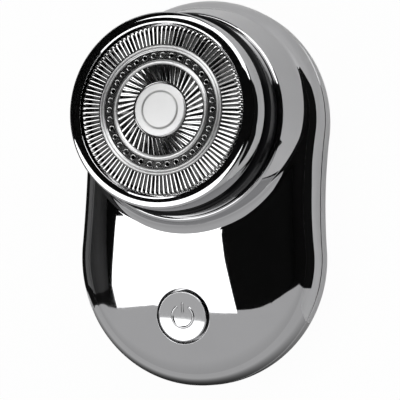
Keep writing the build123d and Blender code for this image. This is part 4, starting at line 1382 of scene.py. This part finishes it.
class SHAVER_OT_power_button(bpy.types.Operator):
    """Makes the power button with its narrow rim, hollow face and raised sign."""

    bl_idname = "shaver.power_button"
    bl_label = "Power button"

    def execute(self, context):
        sizes = context.scene.shaver_button
        case = context.scene.shaver_case
        axis = button_axis(CaseForm())
        rim = sizes.rim_h
        bevel = sizes.bevel
        bevel_r = sizes.button_r - bevel
        hollow_r = bevel_r - sizes.land
        self.low = rim - sizes.dish
        self.curve = (hollow_r**2 + sizes.dish**2) / (2 * sizes.dish)
        swing = math.degrees(math.asin(hollow_r / self.curve))
        flange_top = -case.wall - case.inlet_gap
        flange_low = flange_top - sizes.flange_t
        stem_low = flange_low - sizes.stem_l
        body = Profile(0, stem_low)
        body.lines((sizes.stem_r, stem_low), (sizes.stem_r, flange_low), (sizes.flange_r, flange_low))
        body.lines((sizes.flange_r, flange_top), (sizes.button_r, flange_top))
        body.line(sizes.button_r, rim - bevel)
        body.arc((bevel_r, rim - bevel), bevel, 0, 90, rows=10)
        body.line(hollow_r, rim)
        hollow = Profile(hollow_r, rim)
        hollow.arc((0, self.low + self.curve), self.curve, swing - 90, -90, rows=16, side=-1)
        plating = chrome_plating("button chrome", finish().chrome)
        rim_piece = turned("power_button_rim", plating, axis, BUTTON_STEPS, body)
        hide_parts("power_button")
        face = chrome_plating("button face chrome", finish().button_face, 0.05)
        face_piece = turned("power_button_face", face, axis, BUTTON_STEPS, hollow)
        sign_piece = self.sign(np.array(axis), sizes)
        for piece in (rim_piece, face_piece, sign_piece):
            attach(piece, "button")
        return {"FINISHED"}

    def sign(self, turns, sizes):
        """Raised arc, open at the top, with a short upright stroke in the opening."""
        skin = Skin()
        open_half = sizes.sign_open / 2
        angles = np.linspace(math.pi / 2 + open_half, 5 * math.pi / 2 - open_half, ARC_STEPS + 1)
        arc = directions(angles) * sizes.sign_r
        rise = np.linspace(sizes.stroke_low, sizes.stroke_high, STROKE_STEPS + 1) * sizes.sign_r
        stroke = np.column_stack([np.zeros(len(rise)), rise])
        for path in (arc, stroke):
            self.rod(skin, path, sizes.sign_w / 2, sizes.sign_h, turns)
        return skin.made("power_sign", chrome_plating("sign chrome", finish().button_face, 0.08, 0.04))

    def rod(self, skin, path, half, height, turns):
        """A low round ridge that follows a path on the hollow face, with round ends."""
        ahead = unit(np.gradient(path, axis=0))
        cap = np.linspace(0, math.pi / 2, 6)[1:]
        spine = [path[0]] * len(cap) + list(path) + [path[-1]] * len(cap)
        widths = list(np.sin(cap)) + [1.0] * len(path) + list(np.sin(cap)[::-1])
        slides = list(-np.cos(cap)) + [0.0] * len(path) + list(np.cos(cap)[::-1])
        heads = [ahead[0]] * len(cap) + list(ahead) + [ahead[-1]] * len(cap)
        slope = height / half
        across = 11
        rows = []
        facings = []
        for point, width, slide, head in zip(spine, widths, slides, heads):
            left = np.array([-head[1], head[0]])
            for share in np.linspace(1, -1, across):
                aside = slide * head + width * share * left
                flat = point + half * aside
                rise = max(1 - aside @ aside, 0.0)
                lift = self.low + flat @ flat / (2 * self.curve) + height * rise
                rows.append([flat[0], flat[1], lift])
                tilt = 2 * slope * aside - flat / self.curve
                facings.append([tilt[0], tilt[1], 1.0])
        rows = np.array(rows).reshape(len(spine), across, 3) @ turns[:3, :3].T + turns[:3, 3]
        facings = unit(np.array(facings)).reshape(len(spine), across, 3) @ turns[:3, :3].T
        keep = np.ones((len(rows) - 1, across), bool)
        keep[:, -1] = False
        skin.band(rows, facings, keep)


class SHAVER_OT_cutter(bpy.types.Operator):
    """Dresses the rotary cutter, its hub, the coupling and the retainer under the foil."""

    bl_idname = "shaver.cutter"
    bl_label = "Cutter and coupling"

    def execute(self, context):
        # Painted shade: the cutter's steel is darkened because it lies under the foil.
        dress("rotary_cutter", turned_steel("shaded cutter steel", finish().cutter, 0.3))
        white = moulded_plastic("drive plastic", finish().white, 0.3)
        for node in ("cutter_hub", "drive_coupler", "drive_spindle", "switch_plunger"):
            dress(node, white)
        dress("foil_retainer", moulded_plastic("retainer plastic", finish().black, 0.42))
        return {"FINISHED"}


class SHAVER_OT_drive(bpy.types.Operator):
    """Dresses the drive seat, the seals and the motor."""

    bl_idname = "shaver.drive"
    bl_label = "Drive"

    def execute(self, context):
        black = moulded_plastic("seat plastic", finish().black, 0.4)
        for node in ("drive_seat", "motor_end_cap", "switch_body", "usb_c_tongue"):
            dress(node, black)
        seal = rubber()
        for node in ("shell_gasket", "head_seal", "button_membrane"):
            dress(node, seal)
        steel = plated_steel()
        for node in ("motor_can", "motor_shaft", "motor_screws", "board_screws", "usb_c_socket"):
            dress(node, steel)
        dress("motor_armature", windings())
        return {"FINISHED"}


class SHAVER_OT_electrics(bpy.types.Operator):
    """Dresses the cell and the circuit board."""

    bl_idname = "shaver.electrics"
    bl_label = "Cell and board"

    def execute(self, context):
        dress("battery", cell_wrap())
        dress("circuit_board", solder_mask())
        return {"FINISHED"}


# Axes and places of the stage, in millimetres
ACROSS, ALONG, UP = range(3)
REACH = 3000
END_Y = -650
LEFT_X = -500
PANEL_Z = 400
CARD_Z = PANEL_Z + 2
WHOLE_TABLE = [(-REACH, -REACH), (REACH, -REACH), (REACH, REACH), (-REACH, REACH)]


class SHAVER_OT_stage(bpy.types.Operator):
    """Sets the floor, the soft panels, the cards, the room and the camera."""

    bl_idname = "shaver.stage"
    bl_label = "Stage"

    def execute(self, context):
        sizes = context.scene.shaver_stage
        self.floor(sizes)
        self.panels(sizes)
        self.wall(sizes)
        self.cards(sizes)
        self.room(context.scene, sizes)
        self.camera(context.scene, sizes)
        context.scene.view_settings.view_transform = "Standard"
        return {"FINISHED"}

    def sheet(self, name, axis, level, outline, material, seen=False):
        """A flat stage piece square to an axis, at a level on it and with an outline in millimetres."""
        corners = [Vector(corner[:axis] + (level,) + corner[axis:]) * MM for corner in outline]
        mesh = bpy.data.meshes.new(name)
        mesh.from_pydata(corners, [], [range(len(corners))])
        mesh.materials.append(material)
        piece = bpy.data.objects.new(name, mesh)
        bpy.context.scene.collection.objects.link(piece)
        piece.visible_camera = seen
        return piece

    def floor(self, sizes):
        """Pale floor that keeps the shadow and reads as white in the picture and in metal."""
        graph = Graph("pale floor")
        mottle = graph.noise(graph.place(), 8.0, 3.0)
        tone = graph.mixed(mottle, grey(0.86), grey(0.90))
        path = graph.add("ShaderNodeLightPath", {}, {}, "Is Camera Ray")
        outputs = path.socket.node.outputs
        seen = path + Wire(graph, outputs["Is Glossy Ray"]) + Wire(graph, outputs["Is Transmission Ray"])
        share = seen.math("MINIMUM", seen, 1.0) * sizes.floor_white
        shaders = {0: share, 1: graph.matt(tone), 2: graph.glow((1, 1, 1, 1))}
        material = graph.ended(graph.add("ShaderNodeMixShader", {}, shaders))
        self.sheet("floor", UP, 0, WHOLE_TABLE, material, True)

    def panels(self, sizes):
        """Large soft panel above and to the left, and a low one behind the head end."""
        graph = Graph("soft panel")
        weave = graph.noise(graph.place(), 30.0, 2.0)
        material = graph.ended(graph.glow(graph.mixed(weave, grey(1), grey(0.97)), sizes.panel_light))
        outline = [
            (-340, 10), (-387, -14), (-429, -14), (-438, -39), (-450, -75), (-466, -112), (-475, -142),
            (-452, -182), (-343, -166), (-255, -154), (-61, -153), (5, -153), (-12, -109), (-26, -74),
            (-34, -41), (-30, 10),
        ]
        self.sheet("soft_panel", UP, PANEL_Z, outline, material)
        behind = [
            (-172, 118), (-147, 98), (-92, 138), (-62, 128), (-38, 104), (40, 122), (221, 185),
            (800, 470), (800, 1100), (143, 756), (-4, 330), (-102, 226),
        ]
        self.sheet("soft_panel_behind", UP, PANEL_Z, behind, material)

    def wall(self, sizes):
        """Grey wall beyond the lower end, which darkens towards the table."""
        graph = Graph("end wall")
        low, high = 0.0, 0.6
        share = graph.between(graph.split(graph.place())[2], low, high)
        tone = graph.mixed(share, grey(sizes.room_light * sizes.wall_foot), grey(sizes.room_light))
        outline = [(-REACH, 1), (REACH, 1), (REACH, -END_Y), (-REACH, -END_Y)]
        self.sheet("grey_wall_end", ALONG, END_Y, outline, graph.ended(graph.glow(tone)))

    def cards(self, sizes):
        """Dark cards that give the chrome its deep reflections, and cards on the table, seen only in
        metal: a pale one, and darker ones that are painted shadow of the case.
        """
        dark = self.card_paper("dark card", sizes.dark_tone)
        dim = self.card_paper("dim card", sizes.dim_tone)
        mid = self.card_paper("grey card", sizes.grey_tone)
        pale = self.card_paper("table card", sizes.table_tone)
        end_shadow = self.table_shade(sizes)
        studio = {
            "dark_card_top": (dark, UP, CARD_Z, [
                (-520, -190), (-456, -185), (-400, -150), (5, -149), (40, -148), (69, -145), (95, -139),
                (227, -178), (483, -239), (600, -268), (600, 600), (-520, 600),
            ]),
            "dark_card_right": (dark, ACROSS, 600, [
                (-205, 1), (545, 1), (545, CARD_Z), (-268, CARD_Z), (-199, 170),
            ]),
            "dark_card_behind": (dark, ALONG, 600, [
                (-520, 220), (150, 220), (150, CARD_Z), (-520, CARD_Z),
            ]),
            "dark_card_left": (dark, ACROSS, LEFT_X - 2, [
                (-178, 1), (600, 1), (600, CARD_Z), (-184, CARD_Z),
            ]),
            "dim_card_left": (dim, ACROSS, LEFT_X, [
                (-146, 75), (600, 75), (600, PANEL_Z), (-150, PANEL_Z),
            ]),
            "grey_card_left": (mid, ACROSS, LEFT_X, [(-135, 1), (300, 1), (300, 75), (-146, 75)]),
        }
        for name, (paper, axis, level, outline) in studio.items():
            self.sheet(name, axis, level, outline, paper)
        # Painted shadow: the dark table cards next to the case and the grey one to its left stand for
        # the case's shadow on the table and show only in the chrome; the glowing end card is a painted
        # shadow that fades away from the lower end.
        table = {
            "pale_table": (pale, 0.3, WHOLE_TABLE),
            "grey_table_left": (mid, 0.5, [(LEFT_X, -130), (-60, -24), (-60, 45), (LEFT_X, 260)]),
            "shadow_table_left": (dark, 0.5, [
                (-60, -33), (-45, -29), (-38, -22), (-20, -14), (-20, 45), (-60, 45),
            ]),
            "shadow_table_corner": (dark, 0.4, [(LEFT_X, -175), (-60, -33), (-60, -24), (LEFT_X, -130)]),
            "shadow_table_right": (dark, 0.5, [
                (40, -22), (600, -205), (600, 545), (94, 93), (63, 53), (47, 34), (45, 25), (45, 7),
                (41, 3),
            ]),
            "shadow_table_end": (end_shadow, 0.35, [
                (-REACH, -REACH), (REACH, -REACH), (REACH, -900), (60, -42), (20, -24), (-REACH, -24),
            ]),
        }
        for name, (paper, height, outline) in table.items():
            card = self.sheet(name, UP, height, outline, paper)
            card.visible_diffuse = False
            card.visible_shadow = False

    def table_shade(self, sizes):
        """Glowing card on the table beyond the lower end, a painted shadow seen only in metal, which
        darkens towards the case.
        """
        graph = Graph("table shade")
        x, y = graph.split(graph.place())[:2]
        away = ((x - sizes.shade_x) ** 2.0 + (y - sizes.shade_y) ** 2.0) ** 0.5
        share = graph.between(away, sizes.shade_in, sizes.shade_out)
        # Painted shadow: the card's glow fades from dark near the case to pale away from it.
        return graph.ended(graph.glow(graph.mixed(share, grey(sizes.shade_low), grey(sizes.shade_high))))

    def card_paper(self, name, tone):
        """Matt card with a faint grain."""
        graph = Graph(name)
        grain = graph.noise(graph.place(), 40.0, 2.0)
        return graph.ended(graph.matt(graph.mixed(grain, grey(tone), shade(grey(tone), 1.3))))

    def room(self, scene, sizes):
        """Even grey light of the room."""
        world = bpy.data.worlds.new("room")
        scene.world = world
        world.use_nodes = True
        background = world.node_tree.nodes["Background"]
        background.inputs["Color"].default_value = (1, 1, 1, 1)
        background.inputs["Strength"].default_value = sizes.room_light

    def camera(self, scene, sizes):
        """Camera at the photograph's angle."""
        turn, tilt = sizes.view_turn, sizes.view_tilt
        back = Vector(
            (math.sin(turn) * math.cos(tilt), math.sin(tilt), math.cos(turn) * math.cos(tilt))
        )
        right = Vector((math.cos(turn), 0, -math.sin(turn)))
        up = back.cross(right)
        cosine, sine = math.cos(sizes.view_roll), math.sin(sizes.view_roll)
        right, up = cosine * right + sine * up, cosine * up - sine * right
        lens = bpy.data.cameras.new("camera")
        lens.sensor_width = 36.0
        lens.lens = lens.sensor_width / 2 / math.tan(sizes.view_width / 2)
        lens.shift_x = sizes.shift_x
        lens.shift_y = sizes.shift_y
        lens.clip_start = 0.01
        piece = bpy.data.objects.new("camera", lens)
        matrix = Matrix((right, up, back)).transposed().to_4x4()
        matrix.translation = Vector((0, 0, sizes.aim_z)) + sizes.distance * back
        piece.matrix_world = matrix
        scene.collection.objects.link(piece)
        scene.camera = piece


OPERATORS = (
    SHAVER_OT_back_case,
    SHAVER_OT_front_case,
    SHAVER_OT_head_cap,
    SHAVER_OT_foil,
    SHAVER_OT_power_button,
    SHAVER_OT_cutter,
    SHAVER_OT_drive,
    SHAVER_OT_electrics,
    SHAVER_OT_stage,
)


class SHAVER_PT_panel(bpy.types.Panel):
    """Lists the pieces of the shaver and their sizes."""

    bl_idname = "SHAVER_PT_panel"
    bl_label = "Travel shaver"
    bl_space_type = "VIEW_3D"
    bl_region_type = "UI"
    bl_category = "Shaver"

    def draw(self, context):
        for operator in OPERATORS:
            self.layout.operator(operator.bl_idname)
        for group in GROUPS:
            box = self.layout.box()
            settings = getattr(context.scene, group)
            for key in settings.__annotations__:
                box.prop(settings, key)


def register():
    """Adds the sizes, the operators and the panel."""
    for group, kind in GROUPS.items():
        bpy.utils.register_class(kind)
        setattr(bpy.types.Scene, group, PointerProperty(type=kind))
    for operator in OPERATORS:
        bpy.utils.register_class(operator)
    bpy.utils.register_class(SHAVER_PT_panel)


def unregister():
    """Takes the panel, the operators and the sizes away again."""
    bpy.utils.unregister_class(SHAVER_PT_panel)
    for operator in reversed(OPERATORS):
        bpy.utils.unregister_class(operator)
    for group, kind in GROUPS.items():
        delattr(bpy.types.Scene, group)
        bpy.utils.unregister_class(kind)


def main():
    """Makes every piece in order."""
    register()
    bpy.ops.shaver.back_case()
    bpy.ops.shaver.front_case()
    bpy.ops.shaver.head_cap()
    bpy.ops.shaver.foil()
    bpy.ops.shaver.power_button()
    bpy.ops.shaver.cutter()
    bpy.ops.shaver.drive()
    bpy.ops.shaver.electrics()
    bpy.ops.shaver.stage()


if __name__ == "__main__":
    main()
